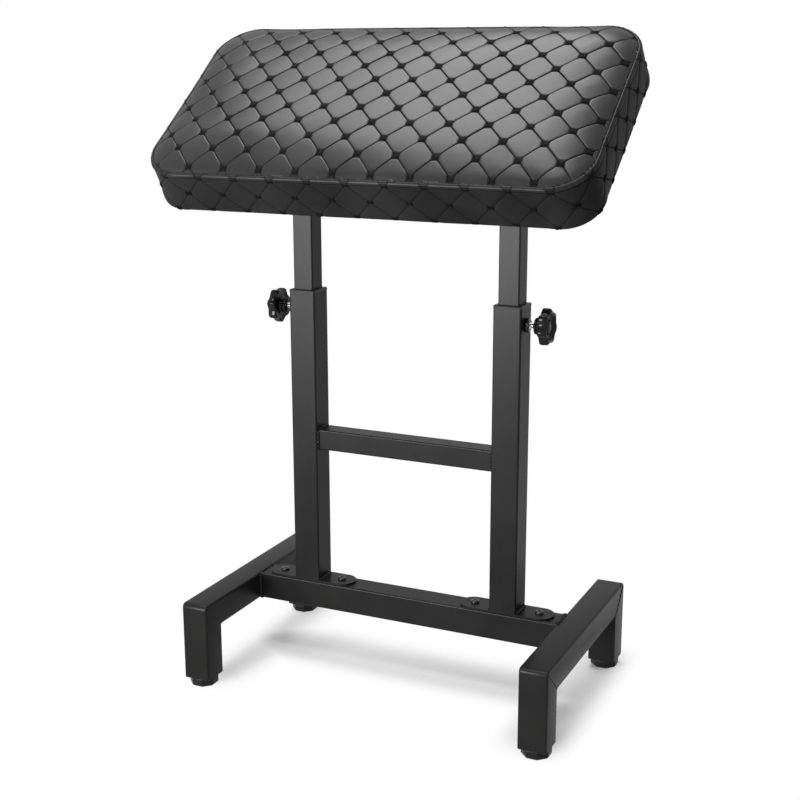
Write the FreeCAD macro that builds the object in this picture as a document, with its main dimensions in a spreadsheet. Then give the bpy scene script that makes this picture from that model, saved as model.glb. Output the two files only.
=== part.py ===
import FreeCAD
import Part
import Sketcher
import math
import os
from types import SimpleNamespace

# A free-standing arm rest: two folded foot frames joined by a crossbar, two uprights with
# sliding inner posts clamped by hand knobs, and a quilted pad that tilts on the post tops.
# Millimetres and degrees. +X is the long side of the pad, -Y is its low front edge, +Z is up.
# The origin is on the floor, in the middle of the object's footprint box.

sizeTable = {
    # folded foot frames and the crossbar between them
    "tube": 40, "tube_wall": 1.5, "tube_corner": 2.5, "fold_radius": 4,
    "foot_step": 100, "foot_length": 342, "base_top": 126, "leg_bottom": 12.7,
    # uprights on their flange plates
    "upright_pitch": 308, "upright_top": 557, "plate_length": 138, "plate_thickness": 3,
    "screw_pitch": 96, "screw_hole": 3.3,
    "mid_bar_top": 359, "mid_bar": 30,
    # inner posts
    "post": 30, "post_wall": 1.5, "post_corner": 2, "post_bottom": 362, "post_over_hinge": 14,
    # guide bush in the top of each outer tube
    "bush_lip": 4, "bush_lip_width": 40.6, "bush_lip_round": 1.2,
    "bush_length": 30, "slide_gap": 0.1,
    # glide plug and cap of the inner posts
    "plug_height": 9, "plug_spigot": 20, "plug_wall": 2.4, "plug_gap": 0.2,
    "cap_lip": 2.5, "cap_spigot": 5.5,
    # hand clamps
    "clamp_drop": 23.5, "stud_radius": 4, "running_gap": 0.05, "stud_hole": 4.6,
    "nut_flats": 17, "nut_height": 6.3, "tip_gap": 0.15,
    "knob_stand": 5.2, "collar_radius": 11, "collar_length": 5,
    "neck_radius": 9.2, "neck_length": 8, "wheel_radius": 25, "wheel_length": 11,
    "wheel_back": 2.5, "valley_radius": 7, "valley_depth": 4.2, "dish_radius": 12,
    "dish_depth": 1.2, "knob_bore": 17,
    # levelling feet
    "foot_radius": 20.5, "foot_gap": 0.3, "foot_chamfer": 1.5, "foot_stud_top": 44,
    "head_radius": 7.5, "head_height": 3, "head_floor": 3.5, "insert_length": 20,
    # screws of the flange plates
    "m6_radius": 3, "m6_length": 14, "pan_radius": 6.2, "pan_height": 3.8,
    "pan_chamfer": 1.6,
    # tilt hinge
    "tilt": 37.5, "hinge_height": 747.4, "hinge_to_pad": 35, "bracket_plate": 3,
    "bracket_width": 40, "bracket_length": 124, "bracket_ear": 14, "bracket_bend": 4.5,
    "bracket_bend_inner": 1.5, "bracket_shoulder": 9,
    "bolt_head_flats": 13, "bolt_head_height": 5.3, "lock_nut_height": 8, "bolt_tail": 2,
    "washer_radius": 8, "inner_washer_gap": 0.1, "hole_gap": 0.1,
    # pad
    "pad_width": 620, "pad_depth": 310, "pad_corner": 58, "pad_side": 62, "crown": 14,
    "hem": 1, "hem_width": 26, "board": 12, "cover_wall": 6, "soft_gap": 0.3,
    "crown_roll": 90, "bottom_round": 5, "ridge_half": 2, "ridge_out": 0.8, "ridge_inside": 3,
    "groove_depth": 4,
    "quilt_pitch_x": 52.5, "quilt_pitch_y": 54, "quilt_start_x": 245, "quilt_start_y": -144,
    "groove_foot": 0.5, "groove_mouth": 3.5, "knot_cut": 6.5,
    # weld beads
    "bead": 3,
    # how far a cutting tool runs past what it cuts
    "overrun": 5,
}

# Shares of the crown's height and roll, from the seam inwards.
crownShares = [(0.62, 0.09), (1, 1)]
# Shares of the side's depth and of its bottom rounding, from the underside up.
sideShares = [(1, 1), (0.94, 0.16), (0.5, 0.24), (0.033, 0.05)]
ridgeShare = 0.2
cornerShare = 0.52
lobeCount = 7

os.makedirs("parts", exist_ok=True)
doc = FreeCAD.newDocument("arm_rest_stand")
sheet = doc.addObject("Spreadsheet::Sheet", "sizes")
for row, (name, number) in enumerate(sizeTable.items(), start=1):
    cell = f"B{row}"
    sheet.set(f"A{row}", name)
    sheet.set(cell, str(number))
    sheet.setAlias(cell, name)
doc.recompute()


class Size:
    # A length, angle or ratio that knows its value and the sheet expression that gives it.

    def __init__(self, value, text):
        self.value = float(value)
        self.text = text

    def __add__(self, other):
        other = asSize(other)
        return Size(self.value + other.value, f"({self.text} + {other.text})")

    def __sub__(self, other):
        other = asSize(other)
        return Size(self.value - other.value, f"({self.text} - {other.text})")

    def __mul__(self, other):
        other = asSize(other)
        return Size(self.value * other.value, f"({self.text} * {other.text})")

    def __truediv__(self, other):
        other = asSize(other)
        return Size(self.value / other.value, f"({self.text} / {other.text})")

    def __neg__(self):
        return Size(-self.value, f"(0 - {self.text})")

    def __radd__(self, other):
        return asSize(other) + self

    def __rsub__(self, other):
        return asSize(other) - self

    def __rmul__(self, other):
        return asSize(other) * self


def asSize(item):
    if isinstance(item, Size):
        return item
    return Size(item, f"({float(item)!r})")


def sine(angle):
    return Size(math.sin(math.radians(angle.value)), f"sin({angle.text})")


def cosine(angle):
    return Size(math.cos(math.radians(angle.value)), f"cos({angle.text})")


dim = SimpleNamespace(**{name: Size(number, f"sizes.{name}") for name, number in sizeTable.items()})
zero = Size(0, "0")


def bind(item, path, size):
    item.setExpression(path, asSize(size).text)


def place(item, x=zero, y=zero, z=zero, axis=None, angle=None):
    # The rotation is fixed or follows the tilt; the position follows the sheet.
    if axis is not None:
        turn = FreeCAD.Rotation(FreeCAD.Vector(*axis), asSize(angle).value)
        item.Placement = FreeCAD.Placement(FreeCAD.Vector(), turn)
    if isinstance(angle, Size):
        bind(item, "Placement.Rotation.Angle", angle)
    for path, size in (("x", x), ("y", y), ("z", z)):
        bind(item, f"Placement.Base.{path}", size)


def newBody(label):
    body = doc.addObject("PartDesign::Body", label)
    body.Label = label
    return body


def originPlane(body, role):
    return next(item for item in body.Origin.OriginFeatures if item.Role == role)


def arcBetween(start, end, radius):
    # A minor arc; a positive radius has its centre on the left of the way from start to end.
    chord = end - start
    half = chord.Length / 2
    reach = math.sqrt(max(radius * radius - half * half, 0))
    side = 1 if radius > 0 else -1
    left = FreeCAD.Vector(-chord.y, chord.x, 0) * (side / chord.Length)
    centre = (start + end) * 0.5 + left * reach
    circle = Part.Circle(centre, FreeCAD.Vector(0, 0, 1), abs(radius))
    first, last = (start, end) if radius > 0 else (end, start)
    angles = [math.atan2(point.y - centre.y, point.x - centre.x) for point in (first, last)]
    if angles[1] < angles[0]:
        angles[1] += 2 * math.pi
    return Part.ArcOfCircle(circle, *angles)


def drawLoop(sketch, loop):
    # A corner is (x, y), or (x, y, radius) where an arc leaves it for the next corner.
    first = sketch.GeometryCount
    count = len(loop)
    ends = []
    for index, corner in enumerate(loop):
        after = loop[(index + 1) % count]
        start = FreeCAD.Vector(asSize(corner[0]).value, asSize(corner[1]).value, 0)
        end = FreeCAD.Vector(asSize(after[0]).value, asSize(after[1]).value, 0)
        if len(corner) == 3:
            sketch.addGeometry(arcBetween(start, end, corner[2].value))
            ends.append((1, 2) if corner[2].value > 0 else (2, 1))
        else:
            sketch.addGeometry(Part.LineSegment(start, end))
            ends.append((1, 2))
    for index, corner in enumerate(loop):
        here = first + index
        before = first + (index - 1) % count
        joint = Sketcher.Constraint("Coincident", before, ends[index - 1][1], here, ends[index][0])
        sketch.addConstraint(joint)
        for kind, size in (("DistanceX", asSize(corner[0])), ("DistanceY", asSize(corner[1]))):
            rule = Sketcher.Constraint(kind, -1, 1, here, ends[index][0], size.value)
            number = sketch.addConstraint(rule)
            bind(sketch, f"Constraints[{number}]", size)
        if len(corner) == 3:
            size = corner[2] if corner[2].value > 0 else -corner[2]
            number = sketch.addConstraint(Sketcher.Constraint("Radius", here, size.value))
            bind(sketch, f"Constraints[{number}]", size)


def drawCircle(sketch, x, y, radius):
    centre = FreeCAD.Vector(asSize(x).value, asSize(y).value, 0)
    here = sketch.addGeometry(Part.Circle(centre, FreeCAD.Vector(0, 0, 1), radius.value))
    for kind, size in (("DistanceX", asSize(x)), ("DistanceY", asSize(y))):
        number = sketch.addConstraint(Sketcher.Constraint(kind, -1, 1, here, 3, size.value))
        bind(sketch, f"Constraints[{number}]", size)
    number = sketch.addConstraint(Sketcher.Constraint("Radius", here, radius.value))
    bind(sketch, f"Constraints[{number}]", radius)


def newSketch(body, role, loops=(), circles=(), level=zero):
    sketch = body.newObject("Sketcher::SketchObject", f"{body.Name}_sketch")
    sketch.AttachmentSupport = [(originPlane(body, role), "")]
    sketch.MapMode = "FlatFace"
    bind(sketch, "AttachmentOffset.Base.z", level)
    for loop in loops:
        drawLoop(sketch, loop)
    for circle in circles:
        drawCircle(sketch, *circle)
    return sketch


def pad(body, sketch, length, both=False, reverse=False):
    feature = body.newObject("PartDesign::Pad", f"{body.Name}_pad")
    feature.Profile = sketch
    feature.SideType = "Symmetric" if both else "One side"
    feature.Reversed = reverse
    bind(feature, "Length", length)
    doc.recompute()
    return feature


def cut(body, sketch, length, both=False, reverse=False):
    before = body.Shape.Volume
    feature = body.newObject("PartDesign::Pocket", f"{body.Name}_pocket")
    feature.Profile = sketch
    feature.SideType = "Symmetric" if both else "One side"
    feature.Reversed = reverse
    bind(feature, "Length", length)
    doc.recompute()
    if body.Shape.Volume >= before:
        raise RuntimeError(f"a pocket of {body.Label} cuts nothing")
    return feature


def revolve(body, loop):
    # The loop lies in the XZ plane and turns about Z.
    sketch = newSketch(body, "XZ_Plane", [loop])
    feature = body.newObject("PartDesign::Revolution", f"{body.Name}_turned")
    feature.Profile = sketch
    feature.ReferenceAxis = (sketch, ["V_Axis"])
    feature.Angle = 360
    doc.recompute()
    return feature


def near(one, other):
    return math.isclose(one, other, abs_tol=1e-4 * dim.tube.value)


def edgesWhere(shape, test):
    return [f"Edge{index}" for index, edge in enumerate(shape.Edges, start=1) if test(edge)]


def roundEdges(body, radius, test, kind="Fillet"):
    base = body.Tip
    feature = body.newObject(f"PartDesign::{kind}", f"{body.Name}_{kind.lower()}")
    feature.Base = (base, edgesWhere(base.Shape, test))
    bind(feature, "Radius" if kind == "Fillet" else "Size", radius)
    doc.recompute()
    return feature


def boxOf(edge):
    return edge.BoundBox


def square(half):
    return [(-half, -half), (half, -half), (half, half), (-half, half)]


def roundedRectangle(halfX, halfY, radius):
    return [(-halfX + radius, -halfY), (halfX - radius, -halfY, radius),
            (halfX, -halfY + radius), (halfX, halfY - radius, radius),
            (halfX - radius, halfY), (-halfX + radius, halfY, radius),
            (-halfX, halfY - radius), (-halfX, -halfY + radius, radius)]


def polygon(count, radius, turn=0):
    angles = [math.radians(turn + 360 * index / count) for index in range(count)]
    return [(radius * math.cos(angle), radius * math.sin(angle)) for angle in angles]


def group(label, items):
    compound = doc.addObject("Part::Compound", label)
    compound.Label = label
    compound.Links = items
    return compound


def link(body, **where):
    item = doc.addObject("App::Link", f"{body.Name}_copy")
    item.LinkedObject = body
    place(item, **where)
    return item


# How far the pad's front edge reaches forward of the hinge sets the middle of the footprint.
tiltSin = sine(dim.tilt)
tiltCos = cosine(dim.tilt)
seamLevel = dim.hinge_to_pad + dim.pad_side
ridgeTop = seamLevel + dim.ridge_half * (1 - ridgeShare)
frontReach = (dim.pad_depth / 2 + dim.ridge_out) * tiltCos + ridgeTop * tiltSin
standY = (frontReach - dim.foot_length / 2) / 2
sideNames = {-1: "left", 1: "right"}
endNames = {-1: "front", 1: "back"}
half = dim.tube / 2
postHalf = dim.post / 2
footPitch = dim.upright_pitch + 2 * dim.foot_step


def squareTube(label, side, wall, corner, length):
    # Along +Z from the origin, with rounded outer corners.
    body = newBody(label)
    outer = roundedRectangle(side / 2, side / 2, corner)
    pad(body, newSketch(body, "XY_Plane", [outer, square(side / 2 - wall)]), length)
    return body


def makeFootFrame(side):
    # One tube notched and folded into an inverted U: the legs are open at the bottom.
    body = newBody(f"{sideNames[side]}_foot_frame")

    def profile(inset, top, bottom, fold):
        end = dim.foot_length / 2 - inset
        foot = dim.foot_length / 2 - dim.tube + inset
        under = dim.base_top - dim.tube + inset
        return [(-end, bottom), (-foot, bottom), (-foot, under), (foot, under), (foot, bottom),
                (end, bottom), (end, top - fold, fold), (end - fold, top),
                (-end + fold, top, fold), (-end, top - fold)]

    outer = profile(zero, dim.base_top, dim.leg_bottom, dim.fold_radius)
    pad(body, newSketch(body, "YZ_Plane", [outer]), dim.tube, both=True)
    legEnd = dim.leg_bottom.value

    def sideEdge(edge):
        box = boxOf(edge)
        onSide = near(box.XLength, 0) and near(abs(box.XMax), half.value)
        atLegEnd = near(box.ZMin, legEnd) and near(box.ZMax, legEnd)
        return onSide and not atLegEnd

    roundEdges(body, dim.tube_corner, sideEdge)
    inner = profile(dim.tube_wall, dim.base_top - dim.tube_wall, dim.leg_bottom - dim.overrun,
                    dim.fold_radius - dim.tube_wall)
    cut(body, newSketch(body, "YZ_Plane", [inner]), dim.tube - 2 * dim.tube_wall, both=True)
    place(body, x=side * footPitch / 2, y=standY)
    return body


def makeCrossbar():
    body = squareTube("base_crossbar", dim.tube, dim.tube_wall, dim.tube_corner,
                      footPitch - dim.tube)
    holes = []
    for upright in (-1, 1):
        for screw in (-1, 1):
            along = (footPitch - dim.tube) / 2
            along = along + upright * dim.upright_pitch / 2 + screw * dim.screw_pitch / 2
            holes.append((zero, along, dim.m6_radius))
    # The tube lies along its own Z, so its top wall is on the -X side and the sketch is turned.
    cut(body, newSketch(body, "YZ_Plane", [], holes), dim.tube)
    place(body, -(footPitch - dim.tube) / 2, standY, dim.base_top - half, (0, 1, 0), 90)
    return body


def makeFlangePlate(side):
    body = newBody(f"{sideNames[side]}_flange_plate")
    flat = dim.plate_length / 2 - half
    obround = [(-flat, -half), (flat, -half, half), (flat + half, zero, half), (flat, half),
               (-flat, half, half), (-flat - half, zero, half)]
    holes = [(end * dim.screw_pitch / 2, zero, dim.screw_hole) for end in (-1, 1)]
    pad(body, newSketch(body, "XY_Plane", [obround], holes), dim.plate_thickness)
    place(body, side * dim.upright_pitch / 2, standY, dim.base_top)
    return body


def makePanScrew():
    # A pan head that sits on z = 0; the shank points down.
    body = newBody("pan_screw")
    profile = [(zero, -dim.m6_length), (dim.m6_radius, -dim.m6_length), (dim.m6_radius, zero),
               (dim.pan_radius, zero), (dim.pan_radius, dim.pan_height - dim.pan_chamfer),
               (dim.pan_radius - dim.pan_chamfer, dim.pan_height), (zero, dim.pan_height)]
    revolve(body, profile)
    return body


def screwPlaces(z):
    places = []
    for upright in (-1, 1):
        for screw in (-1, 1):
            x = upright * dim.upright_pitch / 2 + screw * dim.screw_pitch / 2
            places.append({"x": x, "y": standY, "z": z})
    return places


def makeOuterTube(side):
    bottom = dim.base_top + dim.plate_thickness
    body = squareTube(f"{sideNames[side]}_outer_tube", dim.tube, dim.tube_wall, dim.tube_corner,
                      dim.upright_top - bottom)
    height = dim.upright_top - dim.clamp_drop - bottom
    sketch = newSketch(body, "YZ_Plane", [], [(zero, height, dim.stud_hole)])
    cut(body, sketch, half + dim.overrun, reverse=side > 0)
    place(body, side * dim.upright_pitch / 2, standY, bottom)
    return body


def makeMidCrossbar():
    length = dim.upright_pitch - dim.tube
    body = squareTube("mid_crossbar", dim.mid_bar, dim.post_wall, dim.post_corner, length)
    place(body, -length / 2, standY, dim.mid_bar_top - dim.mid_bar / 2, (0, 1, 0), 90)
    return body


def makeGuideBush(side):
    # The lip lies on the tube end; the sleeve fills the gap between the outer tube and the post.
    body = newBody(f"{sideNames[side]}_guide_bush")
    lipHalf = dim.bush_lip_width / 2
    sleeveHalf = half - dim.tube_wall
    boreHalf = postHalf + dim.slide_gap
    lip = roundedRectangle(lipHalf, lipHalf, dim.tube_corner)
    pad(body, newSketch(body, "XY_Plane", [lip]), dim.bush_lip)
    lipTop = dim.bush_lip.value
    roundEdges(body, dim.bush_lip_round, lambda edge: near(boxOf(edge).ZMin, lipTop), "Chamfer")
    sleeve = newSketch(body, "XY_Plane", [square(sleeveHalf)])
    pad(body, sleeve, dim.bush_length, reverse=True)
    bore = newSketch(body, "XY_Plane", [square(boreHalf)], level=dim.bush_lip)
    cut(body, bore, dim.bush_lip + dim.bush_length + dim.overrun)
    hole = newSketch(body, "YZ_Plane", [], [(zero, -dim.clamp_drop, dim.stud_hole)])
    cut(body, hole, half + dim.overrun, reverse=side > 0)
    place(body, side * dim.upright_pitch / 2, standY, dim.upright_top)
    return body


def makeClampNut(side):
    # A hexagon welded to the outside of the upright, standing on a corner.
    body = newBody(f"{sideNames[side]}_clamp_nut")
    corner = dim.nut_flats / math.sqrt(3)
    bore = dim.stud_radius + dim.running_gap
    hexagon = polygon(6, corner)
    sketch = newSketch(body, "XY_Plane", [hexagon], [(zero, zero, bore)])
    pad(body, sketch, dim.nut_height)
    reach = side * (dim.upright_pitch / 2 + half)
    place(body, reach, standY, dim.upright_top - dim.clamp_drop, (0, 1, 0), 90 * side)
    return body


def makeClampStud(side):
    # From the face of the inner post, through bush, tube and nut, into the knob.
    body = newBody(f"{sideNames[side]}_clamp_stud")
    start = postHalf + dim.tip_gap
    end = half + dim.nut_height + dim.knob_stand + dim.knob_bore - dim.running_gap
    sketch = newSketch(body, "XY_Plane", [], [(zero, zero, dim.stud_radius)], level=start)
    pad(body, sketch, end - start)
    place(body, side * dim.upright_pitch / 2, standY, dim.upright_top - dim.clamp_drop,
          (0, 1, 0), 90 * side)
    return body


def makeClampKnob(side):
    # A moulded hand wheel: collar and neck on the stud side, then a rim of seven lobes.
    body = newBody(f"{sideNames[side]}_clamp_knob")
    bore = dim.stud_radius + dim.running_gap
    neckEnd = dim.collar_length + dim.neck_length
    top = neckEnd + dim.wheel_length
    back = neckEnd - dim.wheel_back
    profile = [(bore, zero), (dim.collar_radius, zero), (dim.collar_radius, dim.collar_length),
               (dim.neck_radius, dim.collar_length), (dim.neck_radius, back),
               (dim.wheel_radius, back), (dim.wheel_radius, top), (dim.dish_radius, top),
               (dim.dish_radius, top - dim.dish_depth), (zero, top - dim.dish_depth),
               (zero, dim.knob_bore), (bore, dim.knob_bore)]
    revolve(body, profile)
    valley = dim.wheel_radius - dim.valley_depth + dim.valley_radius
    sketch = newSketch(body, "XY_Plane", [], [(valley, zero, dim.valley_radius)],
                       level=top + dim.overrun)
    scallop = cut(body, sketch, top + dim.overrun)
    pattern = body.newObject("PartDesign::PolarPattern", f"{body.Name}_lobes")
    pattern.Originals = [scallop]
    pattern.Axis = (sketch, ["N_Axis"])
    pattern.Angle = 360
    pattern.Occurrences = lobeCount
    body.Tip = pattern
    place(body, side * (dim.upright_pitch / 2 + half + dim.nut_height + dim.knob_stand), standY,
          dim.upright_top - dim.clamp_drop, (0, 1, 0), 90 * side)
    return body


def groove(body, loop):
    # Like revolve, but it cuts.
    before = body.Shape.Volume
    sketch = newSketch(body, "XZ_Plane", [loop])
    feature = body.newObject("PartDesign::Groove", f"{body.Name}_groove")
    feature.Profile = sketch
    feature.ReferenceAxis = (sketch, ["V_Axis"])
    feature.Angle = 360
    doc.recompute()
    if body.Shape.Volume >= before:
        raise RuntimeError(f"a groove of {body.Label} cuts nothing")
    return feature


def makeLegInsert(side, end):
    # A square plastic plug with a threaded bore, flush with the end of the leg.
    body = newBody(f"{endNames[end]}_{sideNames[side]}_leg_insert")
    outer = half - dim.tube_wall
    bore = dim.stud_radius + dim.running_gap
    sketch = newSketch(body, "XY_Plane", [square(outer)], [(zero, zero, bore)])
    pad(body, sketch, dim.insert_length)
    place(body, z=dim.leg_bottom, **legCentre(side, end))
    return body


def legCentre(side, end):
    y = standY + end * (dim.foot_length / 2 - half)
    return {"x": side * footPitch / 2, "y": y}


def makeFootBase(side, end):
    # An octagonal moulded foot; the head of its stud is held in a closed pocket.
    body = newBody(f"{endNames[end]}_{sideNames[side]}_foot_base")
    height = dim.leg_bottom - dim.foot_gap
    pad(body, newSketch(body, "XY_Plane", [polygon(8, dim.foot_radius, 180 / 8)]), height)
    roundEdges(body, dim.foot_chamfer, lambda edge: near(boxOf(edge).ZMax, 0), "Chamfer")
    bore = dim.stud_radius + dim.running_gap
    wide = dim.head_radius + dim.running_gap
    roof = dim.head_floor + dim.head_height + 2 * dim.running_gap
    groove(body, [(zero, dim.head_floor), (wide, dim.head_floor), (wide, roof), (bore, roof),
                  (bore, height + dim.overrun), (zero, height + dim.overrun)])
    place(body, **legCentre(side, end))
    return body


def makeFootStud(side, end):
    body = newBody(f"{endNames[end]}_{sideNames[side]}_foot_stud")
    low = dim.head_floor + dim.running_gap
    high = low + dim.head_height
    top = dim.foot_stud_top
    revolve(body, [(zero, low), (dim.head_radius, low), (dim.head_radius, high),
                   (dim.stud_radius, high), (dim.stud_radius, top), (zero, top)])
    place(body, **legCentre(side, end))
    return body


def makeInnerPost(side):
    length = dim.hinge_height + dim.post_over_hinge - dim.post_bottom
    body = squareTube(f"{sideNames[side]}_inner_post", dim.post, dim.post_wall, dim.post_corner,
                      length)
    hole = [(zero, dim.hinge_height - dim.post_bottom, dim.stud_radius + dim.running_gap)]
    cut(body, newSketch(body, "YZ_Plane", [], hole), dim.post + dim.overrun, both=True)
    place(body, side * dim.upright_pitch / 2, standY, dim.post_bottom)
    return body


def makeGlidePlug(side):
    # Closes the lower end of the post and slides in the outer tube; hollow from below.
    body = newBody(f"{sideNames[side]}_glide_plug")
    collar = half - dim.tube_wall - dim.plug_gap
    spigot = postHalf - dim.post_wall
    pad(body, newSketch(body, "XY_Plane", [square(collar)]), dim.plug_height, reverse=True)
    pad(body, newSketch(body, "XY_Plane", [square(spigot)]), dim.plug_spigot)
    hollow = newSketch(body, "XY_Plane", [square(spigot - dim.plug_wall)],
                       level=-dim.plug_height)
    cut(body, hollow, dim.plug_height + dim.plug_spigot - dim.plug_wall, reverse=True)
    place(body, side * dim.upright_pitch / 2, standY, dim.post_bottom)
    return body


def makePostCap(side):
    body = newBody(f"{sideNames[side]}_post_cap")
    lip = roundedRectangle(postHalf, postHalf, dim.post_corner)
    pad(body, newSketch(body, "XY_Plane", [lip]), dim.cap_lip)
    spigot = square(postHalf - dim.post_wall)
    pad(body, newSketch(body, "XY_Plane", [spigot]), dim.cap_spigot, reverse=True)
    place(body, side * dim.upright_pitch / 2, standY, dim.hinge_height + dim.post_over_hinge)
    return body


def tilted(x, along, above):
    # A point of the pad's own frame, whose origin is on the hinge axis.
    y = standY + along * tiltCos - above * tiltSin
    z = dim.hinge_height + along * tiltSin + above * tiltCos
    return {"x": x, "y": y, "z": z}


def placeTilted(body, x=zero):
    place(body, axis=(1, 0, 0), angle=dim.tilt, **tilted(x, zero, zero))


def makePadBracket(side):
    # A folded channel that straddles the post: its ears carry the hinge bolt.
    body = newBody(f"{sideNames[side]}_pad_bracket")
    tip = dim.bracket_length / 2
    top = dim.hinge_to_pad
    ear = dim.bracket_ear
    shoulder = top - dim.bracket_shoulder
    profile = [(-ear, zero, ear), (zero, -ear, ear), (ear, zero), (tip, shoulder), (tip, top),
               (-tip, top), (-tip, shoulder)]
    pad(body, newSketch(body, "YZ_Plane", [profile]), dim.bracket_width, both=True)
    width = dim.bracket_width / 2 - dim.bracket_plate
    roof = top - dim.bracket_plate
    bend = dim.bracket_bend_inner
    slot = [(-width, -ear - dim.overrun), (width, -ear - dim.overrun), (width, roof - bend, bend),
            (width - bend, roof), (-width + bend, roof, bend), (-width, roof - bend)]
    cut(body, newSketch(body, "XZ_Plane", [slot]), dim.bracket_length + dim.overrun, both=True)
    edgeTop = top.value

    def topEdge(edge):
        box = boxOf(edge)
        return near(box.ZMin, edgeTop) and near(box.XLength, 0)

    roundEdges(body, dim.bracket_bend, topEdge)
    pin = newSketch(body, "YZ_Plane", [], [(zero, zero, dim.stud_radius + dim.hole_gap)])
    cut(body, pin, dim.bracket_width + dim.overrun, both=True)
    placeTilted(body, side * dim.upright_pitch / 2)
    return body


def makeHingeHardware():
    # Masters along +Z from the middle of the post; copies lie along X at both posts.
    earFace = dim.bracket_width / 2
    hole = dim.stud_radius + dim.hole_gap
    postFace = postHalf + dim.inner_washer_gap
    spacer = newBody("spacer_washer")
    ring = newSketch(spacer, "XY_Plane", [],
                     [(zero, zero, dim.washer_radius), (zero, zero, hole)], level=postFace)
    pad(spacer, ring, earFace - dim.bracket_plate - postFace)
    bolt = newBody("hinge_bolt")
    corner = dim.bolt_head_flats / math.sqrt(3)
    pad(bolt, newSketch(bolt, "XY_Plane", [polygon(6, corner)], level=earFace),
        dim.bolt_head_height)
    shank = newSketch(bolt, "XY_Plane", [], [(zero, zero, dim.stud_radius)], level=earFace)
    pad(bolt, shank, 2 * earFace + dim.lock_nut_height + dim.bolt_tail, reverse=True)
    nut = newBody("lock_nut")
    nutSketch = newSketch(nut, "XY_Plane", [polygon(6, corner)],
                          [(zero, zero, dim.stud_radius + dim.running_gap)], level=earFace)
    pad(nut, nutSketch, dim.lock_nut_height)
    at = {"y": standY, "z": dim.hinge_height, "axis": (0, 1, 0)}
    copies = {"hinge_bolts": [], "hinge_lock_nuts": [], "spacer_washers": []}
    for side in (-1, 1):
        x = side * dim.upright_pitch / 2
        copies["hinge_bolts"].append(link(bolt, x=x, angle=90 * side, **at))
        copies["hinge_lock_nuts"].append(link(nut, x=x, angle=-90 * side, **at))
        for face in (-1, 1):
            copies["spacer_washers"].append(link(spacer, x=x, angle=90 * face, **at))
    return [group(label, items) for label, items in copies.items()]


def makePadLayer(label, inset, low, high):
    # A flat layer of the pad, drawn in from its outline and clear of the cover's own corners.
    body = newBody(label)
    radius = dim.pad_corner - (inset - dim.soft_gap) * cornerShare - dim.soft_gap
    outline = roundedRectangle(dim.pad_width / 2 - inset, dim.pad_depth / 2 - inset, radius)
    pad(body, newSketch(body, "XY_Plane", [outline], level=low), high - low)
    placeTilted(body)
    return body


def makeBoardLayers():
    inset = dim.cover_wall + dim.soft_gap
    low = dim.hinge_to_pad + dim.hem
    top = low + dim.board
    board = makePadLayer("pad_board", inset, low, top)
    foam = makePadLayer("foam_block", inset, top, seamLevel - dim.soft_gap)
    cloth = makePadLayer("dust_cloth", dim.hem_width + dim.soft_gap, dim.hinge_to_pad, low)
    return [board, foam, cloth]


def makeBeads():
    # Fillet welds: legs along +X and +Z, length along Y, turned to each corner.
    def bead(name, length):
        body = newBody(name)
        triangle = [(zero, zero), (dim.bead, zero), (zero, dim.bead)]
        pad(body, newSketch(body, "XZ_Plane", [triangle]), length, both=True)
        return body

    longBead = bead("long_bead", dim.tube - 2 * dim.tube_corner)
    shortBead = bead("short_bead", dim.mid_bar - 2 * dim.post_corner)
    items = []
    for upright in (-1, 1):
        for face in (-1, 1):
            x = upright * dim.upright_pitch / 2 + face * half
            items.append(link(longBead, x=x, y=standY, z=dim.base_top + dim.plate_thickness,
                              axis=(0, 0, 1), angle=0 if face > 0 else 180))
    barHalf = dim.mid_bar / 2
    barMiddle = dim.mid_bar_top - barHalf
    for end in (-1, 1):
        x = end * (dim.upright_pitch / 2 - half)
        footX = end * (footPitch / 2 - half)
        flip = 0 if end < 0 else 180
        items.append(link(shortBead, x=x, y=standY, z=dim.mid_bar_top, axis=(0, 0, 1),
                          angle=flip))
        items.append(link(shortBead, x=x, y=standY, z=barMiddle - barHalf,
                          axis=(1, 0, 0) if end < 0 else (0, 1, 0), angle=180))
        for face in (-1, 1):
            if end < 0:
                turn = {"axis": (1, 0, 0), "angle": -90 * face}
            else:
                turn = {"axis": (0, 1, face), "angle": 180}
            items.append(link(shortBead, x=x, y=standY + face * barHalf, z=barMiddle, **turn))
            items.append(link(longBead, x=footX, y=standY + face * half, z=dim.base_top - half,
                              **turn))
    return group("weld_beads", items)


def padWire(inset, level):
    # The pad's rounded outline at one height; corners tighten more slowly than the outline.
    x = dim.pad_width.value / 2 - inset
    y = dim.pad_depth.value / 2 - inset
    radius = dim.pad_corner.value - inset * cornerShare
    edges = []
    corners = [(1, -1, -90), (1, 1, 0), (-1, 1, 90), (-1, -1, 180)]
    points = []
    for signX, signY, start in corners:
        centre = FreeCAD.Vector(signX * (x - radius), signY * (y - radius), level)
        arc = Part.makeCircle(radius, centre, FreeCAD.Vector(0, 0, 1), start, start + 90)
        points.append((arc.Vertexes[0].Point, arc.Vertexes[1].Point, arc))
    for index, (first, last, arc) in enumerate(points):
        following = points[(index + 1) % len(points)][0]
        edges.append(arc)
        edges.append(Part.makeLine(last, following))
    return Part.Wire(edges)


def crownSections(drop):
    # The top panel rolls up from the seam and flattens towards the middle.
    sections = []
    for heightShare, insetShare in crownShares:
        level = seamLevel.value + dim.crown.value * heightShare - drop
        sections.append((dim.crown_roll.value * insetShare, level))
    return sections


def solidOf(faces):
    shell = Part.makeShell(faces)
    shell.sewShape()
    return Part.makeSolid(shell)


def flatFace(points):
    return Part.Face(Part.makePolygon(points + points[:1]))


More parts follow.
